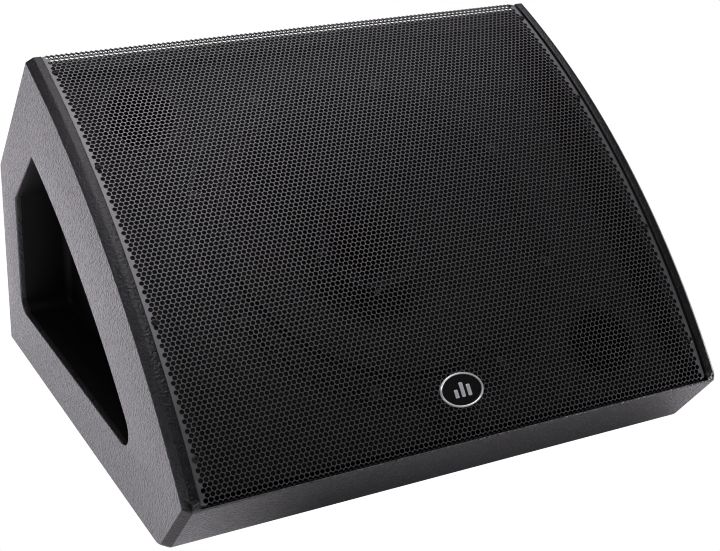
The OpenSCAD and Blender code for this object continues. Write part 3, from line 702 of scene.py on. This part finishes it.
def boards():
    """The four boards. Neighbours share the rounding of the corner where they meet."""
    floor_top = HEEL.y + PANEL_T
    back_foot = Vector((HEEL.x, floor_top))
    strip_inner = NOSE + STRIP_IN * PANEL_T
    slope_inner = CREST + SLOPE_IN * PANEL_T
    back_inner = HEEL.x - PANEL_T
    toe_inner = meet(strip_inner, STRIP_DIR, back_foot, LEVEL)
    ridge_inner = meet(slope_inner, SLOPE_DIR, Vector((back_inner, 0)), UP)
    toe = fillet(HEEL, TOE, NOSE, TOE_R, 6)
    top = fillet(CREST, BACK_TOP, HEEL, EDGE_R, 4)
    heel = fillet(BACK_TOP, HEEL, TOE, EDGE_R, 4)
    down, lift = STRIP_DIR * GLUE, UP * GLUE
    board("bottom_panel", heel + toe[:4], [toe_inner, back_foot])
    strip_top = profile_point("front_strip", (0, 0, 1))
    nose = fillet(TOE, NOSE, strip_top + LEVEL * MM, BUTT_R, 4)
    strip_back = meet(strip_inner, STRIP_DIR, NOSE, (HUB - NOSE).normalized())
    board("front_strip", [p - down for p in toe[3:]] + nose[:-1], [nose[-1], strip_back, toe_inner - down])
    upper_outer = profile_point("top_slope_panel", (0, 0, 1))
    upper_inner = meet(slope_inner, SLOPE_DIR, upper_outer, ALONG)
    ridge = fillet(BACK_TOP, upper_outer, upper_inner, BUTT_R, 4)
    board("top_slope_panel", top[2::-1] + ridge[:-1], [ridge[-1], upper_inner, ridge_inner])
    back_low = Vector((back_inner, floor_top)) + lift
    board("back_panel", [p - lift for p in top[2:]] + [back_foot + lift], [back_low, ridge_inner - lift])


def tray(name, side):
    """A moulded tray: softly rounded inside its floor, with a flange that screws behind the cheek."""
    shell = Shell()
    floor_r = 9 * MM
    draft = 1 * MM
    flange_x = BOARD_HALF - 3 * MM
    floor_x = TRAY_IN_X + TRAY_WALL
    inside = [(-draft - inset, floor_x + drop) for inset, drop in quarter(floor_r, 6)]
    outside = [
        (0, TRAY_OUT_X - 0.6 * MM), (0.3 * MM, TRAY_OUT_X - 0.1 * MM), (0.6 * MM, TRAY_OUT_X),
        (TRAY_WALL, TRAY_OUT_X), (TRAY_WALL, BOARD_HALF), (FLANGE_REACH, BOARD_HALF),
        (FLANGE_REACH, flange_x), (TRAY_WALL, flange_x), (TRAY_WALL, TRAY_IN_X + 8 * MM),
        (TRAY_WALL - 2 * MM, TRAY_IN_X + 2 * MM), (TRAY_WALL - 4 * MM, TRAY_IN_X)
    ]
    rings = [shell.ring([place(side * x, p) for p in recess_outline(grow)]) for grow, x in inside + outside]
    shell.loft(rings)
    shell.cap(rings[0], rings[-1])
    stand_for(shell.object(name, 35), name)


# ---- Grille ----

HOLES_ACROSS = 107
HOLE_SHARE = 0.46           # a hole's radius over the pitch
SHEET_T = 1.2 * MM
SHEET_MARGIN = 5.3 * MM     # solid margin beside the outer holes' centres
LIP = 7.2 * MM
CREST_REACH = 4.5 * MM      # the sheet runs this far past the CAD sheet's upper corner
BEND_R = 2.2 * MM
BANDS = 4                   # the sheet's mesh is made in this many bands


def sheet_path():
    """The sheet's outer face in pieces: (length, function from the length gone to a point and its normal)."""
    lower, upper = profile_point("grille", (0, -1, 0)), profile_point("grille", (0, 0, 1))
    r = (upper - HUB).length
    outward = (upper - HUB).normalized()
    upper = HUB + (outward - turn_left(outward) * CREST_REACH / r).normalized() * r
    low, high = (math.atan2(p.y - HUB.y, p.x - HUB.x) for p in (lower, upper))
    trim = BEND_R / r
    bend_length = math.pi / 2 * (BEND_R - SHEET_T / 2)

    def lip(corner, out, along, starts):
        def straight(s):
            return corner - out * (LIP - s if starts else BEND_R + s), along

        return LIP - BEND_R, straight

    def bend(corner, out, along, starts):
        centre = corner - (out + along) * BEND_R
        first, last = (along, out) if starts else (out, along)

        def around(s):
            w = math.pi / 2 * s / bend_length
            n = first * math.cos(w) + last * math.sin(w)
            return centre + n * BEND_R, n

        return bend_length, around

    def face(s):
        n = polar(low - trim - s / r)
        return HUB + n * r, n

    front = (lower, polar(low), turn_left(polar(low)), True)
    rear = (upper, polar(high), -turn_left(polar(high)), False)
    return [lip(*front), bend(*front), (r * (low - high - 2 * trim), face), bend(*rear), lip(*rear)]


def grille():
    """The perforated sheet: staggered round holes all over, through the bends and the folded lips too."""
    lo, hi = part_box("grille")
    path = sheet_path()
    total = sum(length for length, _ in path)
    pitch = (hi.x - lo.x - 2 * SHEET_MARGIN) / (HOLES_ACROSS - 1)
    hole_r = pitch * HOLE_SHARE
    first = path[0][0] + path[1][0] / 2 - pitch * math.sqrt(3) / 2
    rows = 2 * round((total - 2 * first) / (pitch * math.sqrt(3) / 2) / 2) + 1
    row_gap = (total - 2 * first) / (rows - 1)
    rise = row_gap * 2 / 3
    corner_r = pitch / math.sqrt(3)
    ring_angles = [math.radians(15 + 30 * k) for k in range(12)]
    corner_angles = [math.radians(30 + 60 * k) for k in range(6)]

    def lay(s):
        """The point and the normal of the sheet's outer face at the length s."""
        for length, way in path:
            if s <= length:
                return way(s)
            s -= length
        return path[-1][1](path[-1][0])

    def cell_corners(i, j, u0, s0):
        """The six corners round a hole; those at an edge of the sheet are pulled out to it."""
        for k, a in enumerate(corner_angles):
            u, s = u0 + corner_r * math.cos(a), s0 + rise * math.sin(a)
            if j % 2 == 0 and i == 0 and k in (2, 3):
                u = lo.x
            if j % 2 == 0 and i == HOLES_ACROSS - 1 and k in (0, 5):
                u = hi.x
            if j == rows - 1 and k in (0, 1, 2):
                s = total
            if j == 0 and k in (3, 4, 5):
                s = 0.0
            yield u, s

    for band in range(BANDS):
        numbers, faces = {}, []

        def point(u, s):
            """The number of a point, the same for all the cells that share it."""
            u, s = min(max(u, lo.x), hi.x), min(max(s, 0.0), total)
            key = (round(u / MM, 3), round(s / MM, 3))
            return numbers.setdefault(key, (len(numbers), u, s))[0]

        for j in range(rows * band // BANDS, rows * (band + 1) // BANDS):
            s0 = first + j * row_gap
            count = HOLES_ACROSS - j % 2
            for i in range(count):
                u0 = lo.x + SHEET_MARGIN + (j % 2) * pitch / 2 + i * pitch
                corners = [point(u, s) for u, s in cell_corners(i, j, u0, s0)]
                hole = [point(u0 + hole_r * math.cos(a), s0 + hole_r * math.sin(a)) for a in ring_angles]
                for k in range(6):
                    a, b, c = hole[2 * k], hole[2 * k + 1], hole[(2 * k + 2) % 12]
                    faces += [(a, corners[k], b), (b, corners[k], corners[(k + 1) % 6], c)]
                if j % 2 and i in (0, count - 1):
                    outer, inner = (lo.x, u0 - pitch / 2) if i == 0 else (hi.x, u0 + pitch / 2)
                    quad = (point(inner, s0 - rise / 2), point(inner, s0 + rise / 2),
                            point(outer, s0 + rise), point(outer, s0 - rise))
                    faces.append(quad if i == 0 else quad[::-1])
        sheet_band(f"grille_band_{band}", [(u, *lay(s)) for _, u, s in numbers.values()], faces)


def sheet_band(name, laid, faces):
    """One band of the sheet as a closed mesh: outer face, inner face, and walls on every open edge."""
    count = len(laid)
    shell = Shell()
    shell.ring([place(u, p) for u, p, _ in laid] + [place(u, p - n * SHEET_T) for u, p, n in laid])
    edges = {}
    for face in faces:
        for a, b in zip(face, face[1:] + face[:1]):
            if (b, a) in edges:
                del edges[(b, a)]
            else:
                edges[(a, b)] = True
    shell.faces = faces + [tuple(i + count for i in reversed(face)) for face in faces]
    shell.faces += [(b, a, a + count, b + count) for a, b in edges]
    stand_for(shell.object(name, 40), "grille")


# ---- Screws ----

def cross_slot(arm, width):
    """The outline of a cross recess, as a radius for each angle."""
    def radius(theta):
        off = (theta + math.pi / 4) % (math.pi / 2) - math.pi / 4
        return min(arm, width / max(abs(math.sin(off)), 1e-3))
    return radius


def screw(shell, where, head_r, head_h, shank_r, length):
    """A pan-headed screw with a cross recess, its head on the frame's plane."""
    arm, width = head_r * 0.56, head_r * 0.15
    dome = [(head_r * math.cos(t), head_h * (0.35 + 0.65 * math.sin(t))) for t in (0.85, 0.55, 0.25)]
    recess = [
        (0, head_h * 0.3), (cross_slot(arm * 0.7, width * 0.7), head_h * 0.35),
        (cross_slot(arm, width), head_h * 0.93), (cross_slot(arm * 1.06, width * 1.3), head_h)
    ]
    shank = [(head_r, head_h * 0.3), (head_r, 0), (shank_r, 0), (shank_r, -length + shank_r), (0, -length)]
    revolve(shell, where, recess + dome + shank, 48)


def screws_like(node, head_h, axis_of):
    """Screws in the places of a CAD node's solids; axis_of gives a solid's outward axis from its centre."""
    shell = Shell()
    for points in islands(node):
        n = axis_of(Vector(points.mean(0)))
        u = X_AXIS if abs(n.x) < 0.5 else Y_AXIS
        v = n.cross(u)
        heights = measured(points, n)
        offsets = np.stack([measured(points, u), measured(points, v)], 1)
        middle = (offsets.min(0) + offsets.max(0)) / 2
        radii = np.linalg.norm(offsets - middle, axis=1)
        seat = heights.max() - head_h
        shank_r = radii[heights < heights.min() + 0.1 * MM].max()
        where = Frame(u * middle[0] + v * middle[1] + n * seat, u, v, n)
        screw(shell, where, radii.max(), head_h, shank_r, seat - heights.min())
    stand_for(shell.object(node, 35), node)


def fasteners():
    """Each set of screws, with its heads' height and the way they face."""
    screws_like("grille_screws", 1.6 * MM, lambda c: place(0, (c.yz - HUB).normalized()))
    screws_like("tray_screws", 2 * MM, lambda c: X_AXIS * -math.copysign(1, c.x))
    screws_like("woofer_screws", 3.2 * MM, lambda c: CHORD.n)
    screws_like("hf_bolts", 3 * MM, lambda c: -CHORD.n)
    screws_like("board_screws", 1.8 * MM, lambda c: Z_AXIS)
    screws_like("plate_screws", 1.6 * MM, lambda c: X_AXIS)
    screws_like("feet_screws", 2.2 * MM, lambda c: -Z_AXIS)


# ---- Badge ----

def plate(shell, where, half_u, half_v, radius, levels, steps):
    """Adds a rectangular plate with rounded corners; levels holds (inset, height)."""
    rings = []
    for inset, height in levels:
        outline = rectangle(half_u - inset, half_v - inset, radius - inset, steps)
        rings.append(shell.ring([where.at(p.x, p.y, height) for p in outline]))
    shell.loft(rings)
    shell.cap(rings[0], rings[-1])


def badge():
    """An oval badge: a bevelled silver rim round a black plate, with three plain bars."""
    lo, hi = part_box("badge_rim")
    plate_lo, plate_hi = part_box("badge_plate")
    middle = ((plate_lo + plate_hi) / 2).yz
    where = rim_frame(0, middle)
    points = cad_points("badge_rim")
    heights, ups = measured(points, where.n, where.origin), measured(points, where.v)
    half_u, half_v = (hi.x - lo.x) / 2, (ups.max() - ups.min()) / 2
    where = where.moved(c=heights.min())
    thick = heights.max() - heights.min()

    def oval(inset):
        a, b = half_u - inset * MM, half_v - inset * MM
        return lambda t: a * b / math.hypot(b * math.cos(t), a * math.sin(t))

    # (inset in mm, height over the back)
    rim = ((0, 0), (0, thick - 0.9 * MM), (0.25, thick - 0.35 * MM), (0.7, thick), (1.1, thick),
           (1.5, thick - 0.3 * MM), (1.8, thick - 1.2 * MM), (1.8, 0))
    stand_for(turned("badge_rim", where, [(oval(inset), h) for inset, h in rim], 128), "badge_rim")
    face = 1.6 * MM
    crown = ((1.85, 0), (1.85, face - 0.5 * MM), (2.5, face - 0.25 * MM), (6, face - 0.12 * MM), (10, face))
    profile = [(0, 0)] + [(oval(inset), h) for inset, h in crown] + [(0, face)]
    stand_for(turned("badge_plate", where, profile, 128, closed=False), "badge_plate")
    bars = Shell()
    for solid in islands("badge_bars"):
        u, v, h = (measured(solid, axis, where.origin) for axis in (where.u, where.v, where.n))
        centre = where.moved((u.min() + u.max()) / 2, (v.min() + v.max()) / 2)
        levels = ((0, h.min()), (0, h.max() - 0.3 * MM), (0.3 * MM, h.max()))
        plate(bars, centre, (u.max() - u.min()) / 2, (v.max() - v.min()) / 2, 1 * MM, levels, 4)
    stand_for(bars.object("badge_bars"), "badge_bars")


# ---- Ports ----

def port(name):
    """A port tube with a generously rounded mouth and a thin flange on the baffle."""
    lo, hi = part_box(name)
    points = cad_points(name)
    heights, ups = (measured(points, axis, CHORD.origin) for axis in (CHORD.n, CHORD.v))
    where = CHORD.moved((lo.x + hi.x) / 2, (ups.min() + ups.max()) / 2)
    end, top = heights.min(), heights.max()
    flange_r = (hi.x - lo.x) / 2
    bore = flange_r - 9 * MM
    tube_r = bore + 3 * MM
    mouth = 6 * MM
    face = top - 2.5 * MM + GLUE
    profile = [
        (tube_r, end), (tube_r, face), (flange_r, face), (flange_r, face + 1.2 * MM),
        (flange_r - 0.8 * MM, top - 0.3 * MM), (flange_r - 1.8 * MM, top)
    ]
    profile += [(bore + inset, top - drop) for inset, drop in quarter(mouth, 6)]
    profile += [(bore, end + 2 * MM), (bore + 1 * MM, end)]
    stand_for(turned(name, where, profile), name)


# ---- Woofer ----

def about_axis(points):
    """The height and the radius of each point about the driver's axis."""
    across = [measured(points, axis, CHORD.origin) for axis in (CHORD.u, CHORD.v)]
    return measured(points, CHORD.n, CHORD.origin), np.hypot(*across)


def reach(node):
    """(lowest height, highest height, largest radius) of a CAD node about the driver's axis."""
    heights, radii = about_axis(cad_points(node))
    return heights.min(), heights.max(), radii.max()


def stretch_for(obj, node, inner, outer, child):
    """A flexible piece, with its CAD node's material and the node hidden; outer and inner are radii about the
    driver's axis, and child, the moving body, is not used.
    """
    dress(obj, SLOT_OF[node])
    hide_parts(node)
    tuple(CHORD.at(outer, 0, 0))
    tuple(CHORD.at(inner, 0, 0))
    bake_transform(obj)
    _, radii = about_axis(points_of(obj))


def cone():
    """A curvilinear paper cone with pressed ribs, a turned lip and a glued neck."""
    low, high, r_out = reach("woofer_cone")
    paper = 0.9 * MM
    lip = r_out - 6 * MM
    neck = reach("coil_former")[2] + 0.02 * MM
    neck_h = low + paper
    glue_w, glue_h = 1.5 * MM, 1.5 * MM
    ribs, rib_half, rib_h = (0.42, 0.58, 0.74, 0.88), 0.022, 0.9 * MM
    front, back = [], []
    for t in fractions(90):
        r = neck + glue_w + (lip - neck - glue_w) * t
        off = min(abs(t - rib) for rib in ribs) / rib_half
        h = neck_h + (high - neck_h) * t + (rib_h * math.cos(math.pi / 2 * off) if off < 1 else 0)
        front.append((r, h))
        back.append((r + 0.3 * MM, h - paper))
    profile = [(neck, neck_h + glue_h)] + front[1:] + [(r_out, high), (r_out, high - paper)]
    profile += back[-2::-1] + [(neck, neck_h - paper)]
    stand_for(turned("woofer_cone", CHORD, profile, 160), "woofer_cone")


def surround():
    """A doped cloth surround with a double roll between two glued flats."""
    low, high, r_out = reach("woofer_surround")
    r_in = reach("woofer_cone")[2]
    skin = 0.7 * MM
    flat, overhang, roll_w = 5.4 * MM, 0.4 * MM, 8.8 * MM
    start, end = r_in - overhang, r_in - overhang + roll_w
    top = [(r_in - flat, low + skin)]
    for t in fractions(48):
        roll = math.sqrt(abs(math.sin(TURN * t))) * (0.5 - 0.5 * math.cos(TURN * 2 * t)) ** 0.3
        top.append((start + (end - start) * t, low + skin + (high - low - skin) * roll))
    top.append((r_out, low + skin))
    profile = top + [(r, h - skin) for r, h in reversed(top)]
    cloth = turned("woofer_surround", CHORD, profile, 192)
    stretch_for(cloth, "woofer_surround", start, end, "cone_assembly")


def gasket():
    """A soft gasket ring with rounded edges and a bay round each bolt."""
    low, high, r_out = reach("woofer_gasket")
    r_in = 171.2 * MM
    bolts, bolt_r, bay = 8, 181 * MM, 7 * MM

    def outer(inset):
        def radius(theta):
            off = theta % (TURN / bolts) - TURN / (2 * bolts)
            across = bolt_r * math.sin(abs(off))
            if across >= bay + inset:
                return r_out - inset
            return min(r_out - inset, bolt_r * math.cos(off) - math.sqrt((bay + inset) ** 2 - across ** 2))
        return radius

    edge = 0.8 * MM
    profile = [
        (r_in, low), (r_in, high - edge), (r_in + edge, high), (outer(edge), high), (outer(0), high - edge),
        (outer(0), low)
    ]
    stand_for(turned("woofer_gasket", CHORD, profile, 480), "woofer_gasket")


def spider():
    """The spider: a pressed cloth disc with deep even waves."""
    low, high, r_out = reach("spider")
    r_in = reach("coil_former")[2] + 0.02 * MM
    cloth = 0.5 * MM
    waves, wave_h = 5, 1.6 * MM
    wave_in, wave_out = r_in + 2.7 * MM, r_out - 9 * MM
    level = (low + high - cloth) / 2
    under = [(r_in, level)]
    for t in fractions(80):
        under.append((wave_in + (wave_out - wave_in) * t, level + wave_h * math.sin(TURN * waves * t)))
    under.append((r_out, level))
    profile = [(r, h + cloth) for r, h in under] + under[::-1]
    stretch_for(turned("spider", CHORD, profile, 144), "spider", wave_in, wave_out, "cone_assembly")


def horn():
    """The horn on the pole: a smooth flare with a rolled mouth."""
    low, high, r_out = reach("hf_horn")
    throat, wall = 17 * MM, 2.5 * MM
    mouth = r_out - wall
    foot_r, foot_h = 34 * MM, 3 * MM
    inside, outside = [], []
    for t in fractions(40):
        h = low + (high - low) * t
        r = throat * (mouth / throat) ** t
        inside.append((r, h))
        outside.append((max(r + wall, foot_r) if h < low + foot_h else r + wall, h))
    lip = [(mouth + wall / 2 + wall / 2 * math.cos(t), high + wall / 2 * math.sin(t) - wall / 4)
           for t in (2.6, 2.1, 1.57, 1.0, 0.5)]
    stand_for(turned("hf_horn", CHORD, inside[:-1] + lip + outside[-2::-1], 128), "hf_horn")


def flexible_small_parts():
    """The compression driver's surround and the two tinsel leads keep their CAD shapes, as copies with their
    materials.
    """
    for node, inner, outer, child in (
            ("hf_surround", reach("hf_diaphragm")[2] + 0.5 * MM, 30 * MM, "hf_assembly"),
            ("tinsel_leads", reach("coil_former")[2] + 2 * MM, 84 * MM, "cone_assembly")):
        obj = bpy.data.objects.new(node + "_flex", frame["nodes"][node].data.copy())
        bpy.context.scene.collection.objects.link(obj)
        stretch_for(obj, node, inner, outer, child)


# ---- Recess fittings, feet and soft parts ----

def oblong(half_u, half_v, power=9):
    """A rectangle with rounded corners, as a radius for each angle."""
    def radius(theta):
        c, s = abs(math.cos(theta)) / half_u, abs(math.sin(theta)) / half_v
        return (c ** power + s ** power) ** (-1 / power)
    return radius


def keyed(r, depth, ways, width):
    """A round wall with evenly spaced keyways cut into it."""
    def radius(theta):
        off = (theta + math.pi / ways) % (TURN / ways) - math.pi / ways
        return r - (depth if abs(off) < width else 0)
    return radius


def sockets():
    """Round twist-lock speaker sockets: a flange, a keyed ring and a slotted centre post."""
    shell = Shell()
    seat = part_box("connector_plate")[1].x + 0.02 * MM
    body_r, ring_r, post_r = 12 * MM, 10.4 * MM, 4.8 * MM
    ring, post = keyed(ring_r, 0.9 * MM, 2, 0.22), keyed(post_r, 1.1 * MM, 4, 0.2)
    edge = 0.7 * MM
    for solid in islands("speaker_sockets"):
        lo, hi = Vector(solid.min(0)), Vector(solid.max(0))
        where = Frame(place(seat, (lo.yz + hi.yz) / 2), Y_AXIS, Z_AXIS, X_AXIS)
        half_u, half_v = (hi.yz - lo.yz) / 2
        back, face = lo.x - seat, hi.x - seat
        floor = back + 4 * MM
        collar = face + 1.4 * MM
        profile = [
            (0, back), (body_r - 1 * MM, back), (body_r, back + 1 * MM), (body_r, 0),
            (oblong(half_u, half_v), 0), (oblong(half_u, half_v), face - edge),
            (oblong(half_u - edge, half_v - edge), face), (body_r + 0.3 * MM, face), (body_r, collar),
            (body_r - 0.5 * MM, collar + 0.4 * MM), (ring_r + 0.4 * MM, collar + 0.4 * MM),
            (ring, collar), (ring, floor), (post, floor), (post, face - 0.2 * MM),
            (post_r - 1.4 * MM, face + 0.8 * MM), (0, face + 0.9 * MM)
        ]
        revolve(shell, where, profile, 144)
    stand_for(shell.object("speaker_sockets"), "speaker_sockets")


def connector_plate():
    """The steel plate that carries the sockets, with rounded corners and a pressed edge."""
    lo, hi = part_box("connector_plate")
    shell = Shell()
    half_u, half_v = (hi.yz - lo.yz) / 2
    t = hi.x - lo.x
    where = Frame(place(lo.x, (lo.yz + hi.yz) / 2), Y_AXIS, Z_AXIS, X_AXIS)
    levels = ((0, 0), (0, t - 0.5 * MM), (0.2 * MM, t - 0.15 * MM), (0.6 * MM, t))
    plate(shell, where, half_u, half_v, 5 * MM, levels, 6)
    stand_for(shell.object("connector_plate"), "connector_plate")


def feet():
    """Rubber feet, tapered, with a softened tread and a deep seat for the screw's washer."""
    shell = Shell()
    seat_r, hole_r, seat = 6 * MM, 2.2 * MM, 3.5 * MM
    for solid in islands("rubber_feet"):
        lo, hi = Vector(solid.min(0)), Vector(solid.max(0))
        middle = (lo + hi) / 2
        where = Frame(Vector((middle.x, middle.y, lo.z)), X_AXIS, Y_AXIS, Z_AXIS)
        r, h = hi.x - middle.x, hi.z - lo.z
        profile = [
            (r, h), (r, h - 0.8 * MM), (r - 1.4 * MM, 1.0 * MM), (r - 1.8 * MM, 0.4 * MM), (r - 2.6 * MM, 0),
            (seat_r + 1.4 * MM, 0), (seat_r + 0.4 * MM, 0.5 * MM), (seat_r, 1.2 * MM), (seat_r, seat),
            (hole_r, seat), (hole_r, h)
        ]
        revolve(shell, where, profile, 64, closed=True)
    stand_for(shell.object("rubber_feet"), "rubber_feet")


def wadding(node, seed):
    """A loose fibre mat: a soft-edged slab whose faces rise and sink."""
    lo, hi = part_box(node)
    size, mid = hi - lo, (lo + hi) / 2
    thin = min(range(3), key=lambda k: size[k])
    wide_u, wide_v = [k for k in range(3) if k != thin]
    half_u, half_v, soft = size[wide_u] / 2, size[wide_v] / 2, size[thin] / 2
    n_u, n_v = (max(3, int(size[k] / (7 * MM))) for k in (wide_u, wide_v))
    shell = Shell()

    def skin(a, b, sign):
        u, v = (a * 2 - 1) * half_u, (b * 2 - 1) * half_v
        edge = min(half_u - abs(u), half_v - abs(v))
        crown = math.sqrt(max(0.0, 1 - (1 - min(1.0, edge / soft)) ** 2))
        p = mid.copy()
        p[wide_u] += u
        p[wide_v] += v
        ripple = 0.86 + 0.13 * noise.noise(p * 45 + Vector((seed, sign, 0)))
        p[thin] += sign * soft * crown * ripple
        return p

    for sign in (-1, 1):
        rows = [[skin(a, b, sign) for a in fractions(n_u)] for b in fractions(n_v)]
        shell.loft([shell.ring(row) for row in rows], closed=False)
    stand_for(shell.object(node, 80), node)


# ---- The rest of the CAD nodes ----

# The width in mm of the softened edges
SOFTENED = {
    "baffle": 0.5, "left_grille_cleat": 0.8, "right_grille_cleat": 0.8, "woofer_tee_nuts": 0.3,
    "woofer_basket": 0.8, "basket_terminals": 0.2, "top_plate": 0.5, "ferrite_magnet": 1.0, "pole_yoke": 0.6,
    "hf_front_plate": 0.4, "hf_magnet": 0.6, "hf_top_plate": 0.3, "hf_pole": 0.3, "hf_cover": 0.5,
    "crossover_board": 0.2, "board_standoffs": 0.2, "inductors": 1.2, "capacitors": 1.0, "resistors": 0.6,
}


def finish_cad_nodes():
    """Every CAD node still shown gets its material, and softened edges where they would have them."""
    for name, obj in frame["nodes"].items():
        if obj.hide_render:
            continue
        dress(obj, SLOT_OF[name])
        if name in SOFTENED:
            bevel = obj.modifiers.new("soft_edges", "BEVEL")
            bevel.width = SOFTENED[name] * MM
            bevel.segments = 2
            bevel.angle_limit = math.radians(35)
            bevel.limit_method = "ANGLE"
        obj.data.shade_smooth()
        obj.data.set_sharp_from_angle(angle=math.radians(30))


# ---- Stage, light and camera ----

GLOW_CENTRE = 0.05          # the floor is darkest here, and glows beyond both cheeks
GLOW_STOPS = ((0.17, 0.05), (0.45, 1.0), (0.75, 0.6))    # (distance in metres, share)
GLOW_STRENGTH = 1.5
FLOOR_HALF = 6.0
STUDIO_WHITE = (1.0, 0.955, 1.03)
HORIZON = 0.18              # the world's brightness there, and overhead
OVERHEAD = 0.02
CAMERA_AT = (-0.7057, -1.2797, 0.8209)
YAW, PITCH, ROLL = math.radians(29.29), math.radians(25.05), math.radians(2.40)


def floor():
    """A wide pale floor: plain white to the camera, and glowing beyond the wedge's two ends."""
    shell = Shell()
    corners = ((-1, -1), (1, -1), (1, 1), (-1, 1))
    shell.cap(shell.ring([Vector((x, y, 0)) * FLOOR_HALF for x, y in corners]))
    obj = shell.object("floor")
    material = bpy.data.materials.new("floor")
    material.use_nodes = True
    n = Nodes(material.node_tree)
    surface = n.tree.nodes["Principled BSDF"]
    n.feed(grey(0.6), surface.inputs["Base Color"])
    n.feed(0.9, surface.inputs["Roughness"])
    n.feed(STUDIO_WHITE, surface.inputs["Emission Color"])
    away = n.math("ABSOLUTE", n.math("SUBTRACT", n.along("Object", "X"), GLOW_CENTRE))
    share = n.node("ValToRGB", {"Fac": away})
    share.color_ramp.interpolation = "EASE"
    share.color_ramp.elements.new(0.5)
    for element, (distance, value) in zip(share.color_ramp.elements, GLOW_STOPS):
        element.position = distance
        element.color = (*grey(value), 1)
    n.feed(n.math("MULTIPLY", share.outputs["Color"], GLOW_STRENGTH), surface.inputs["Emission Strength"])
    n.white_to_camera(surface.outputs["BSDF"], n.node("Emission").outputs["Emission"], "Material Output")
    obj.data.materials.append(material)


def world():
    """Bright round the horizon, dim overhead, and plain white where the camera sees it."""
    made = bpy.data.worlds.new("studio")
    bpy.context.scene.world = made
    made.use_nodes = True
    n = Nodes(made.node_tree)
    sky = n.tree.nodes["Background"]
    brightness = n.ramp(n.along("Generated", "Z"), (HORIZON, OVERHEAD), 0.05, 0.4, "SMOOTHSTEP")
    n.feed(brightness, sky.inputs["Strength"])
    n.feed(STUDIO_WHITE, sky.inputs["Color"])
    plain = n.node("Background", {"Color": (1, 1, 1)})
    n.white_to_camera(sky.outputs["Background"], plain.outputs["Background"], "World Output")


def area_light(name, location, target, size, power):
    data = bpy.data.lights.new(name, "AREA")
    data.shape = "RECTANGLE"
    data.size, data.size_y = size
    data.energy = power
    data.color = STUDIO_WHITE
    obj = bpy.data.objects.new(name, data)
    obj.location = location
    obj.rotation_euler = (Vector(target) - Vector(location)).to_track_quat("-Z", "Y").to_euler()
    bpy.context.scene.collection.objects.link(obj)


def lights():
    """Four large soft boxes above, and a small fill low by the right end of the front."""
    middle = (Vector(CAD_BOX[0]) + Vector(CAD_BOX[1])) / 2
    area_light("softbox_above", (0.35, 0.95, 1.9), middle, (2.0, 1.1), 15)
    area_light("softbox_high", (0.25, 0.0, 2.3), middle, (1.4, 0.9), 15)
    area_light("softbox_front", (-0.05, -0.8, 2.2), middle, (0.8, 0.6), 6)
    area_light("softbox_left", (-1.1, 0.1, 1.5), middle, (0.7, 0.7), 6)
    area_light("fill_right", (0.6, -0.45, 0.03), place(HALF, NOSE), (0.2, 0.1), 1.3)


def camera():
    """Above the left end of the front, looking down over the grille."""
    forward = Vector((math.sin(YAW) * math.cos(PITCH), math.cos(YAW) * math.cos(PITCH), -math.sin(PITCH)))
    level = Vector((math.cos(YAW), -math.sin(YAW), 0))
    raised = level.cross(forward)
    right = level * math.cos(ROLL) + raised * math.sin(ROLL)
    up = raised * math.cos(ROLL) - level * math.sin(ROLL)
    data = bpy.data.cameras.new("camera")
    data.lens = 77.55
    data.sensor_width = 36
    obj = bpy.data.objects.new("camera", data)
    obj.rotation_mode = "QUATERNION"
    obj.rotation_quaternion = Matrix((right, up, -forward)).transposed().to_quaternion()
    obj.location = CAMERA_AT
    bpy.context.scene.collection.objects.link(obj)
    bpy.context.scene.camera = obj


cheek("left_cheek", -1)
cheek("right_cheek", 1)
boards()
tray("left_recess_tray", -1)
tray("right_recess_tray", 1)
grille()
fasteners()
badge()
port("upper_port_tube")
port("lower_port_tube")
cone()
surround()
gasket()
spider()
horn()
flexible_small_parts()
sockets()
connector_plate()
feet()
wadding("back_wadding", 3)
wadding("floor_wadding", 11)
finish_cad_nodes()
floor()
world()
lights()
camera()
bpy.context.scene.view_settings.view_transform = "Standard"
bpy.context.scene.cycles.filter_width = 1.0
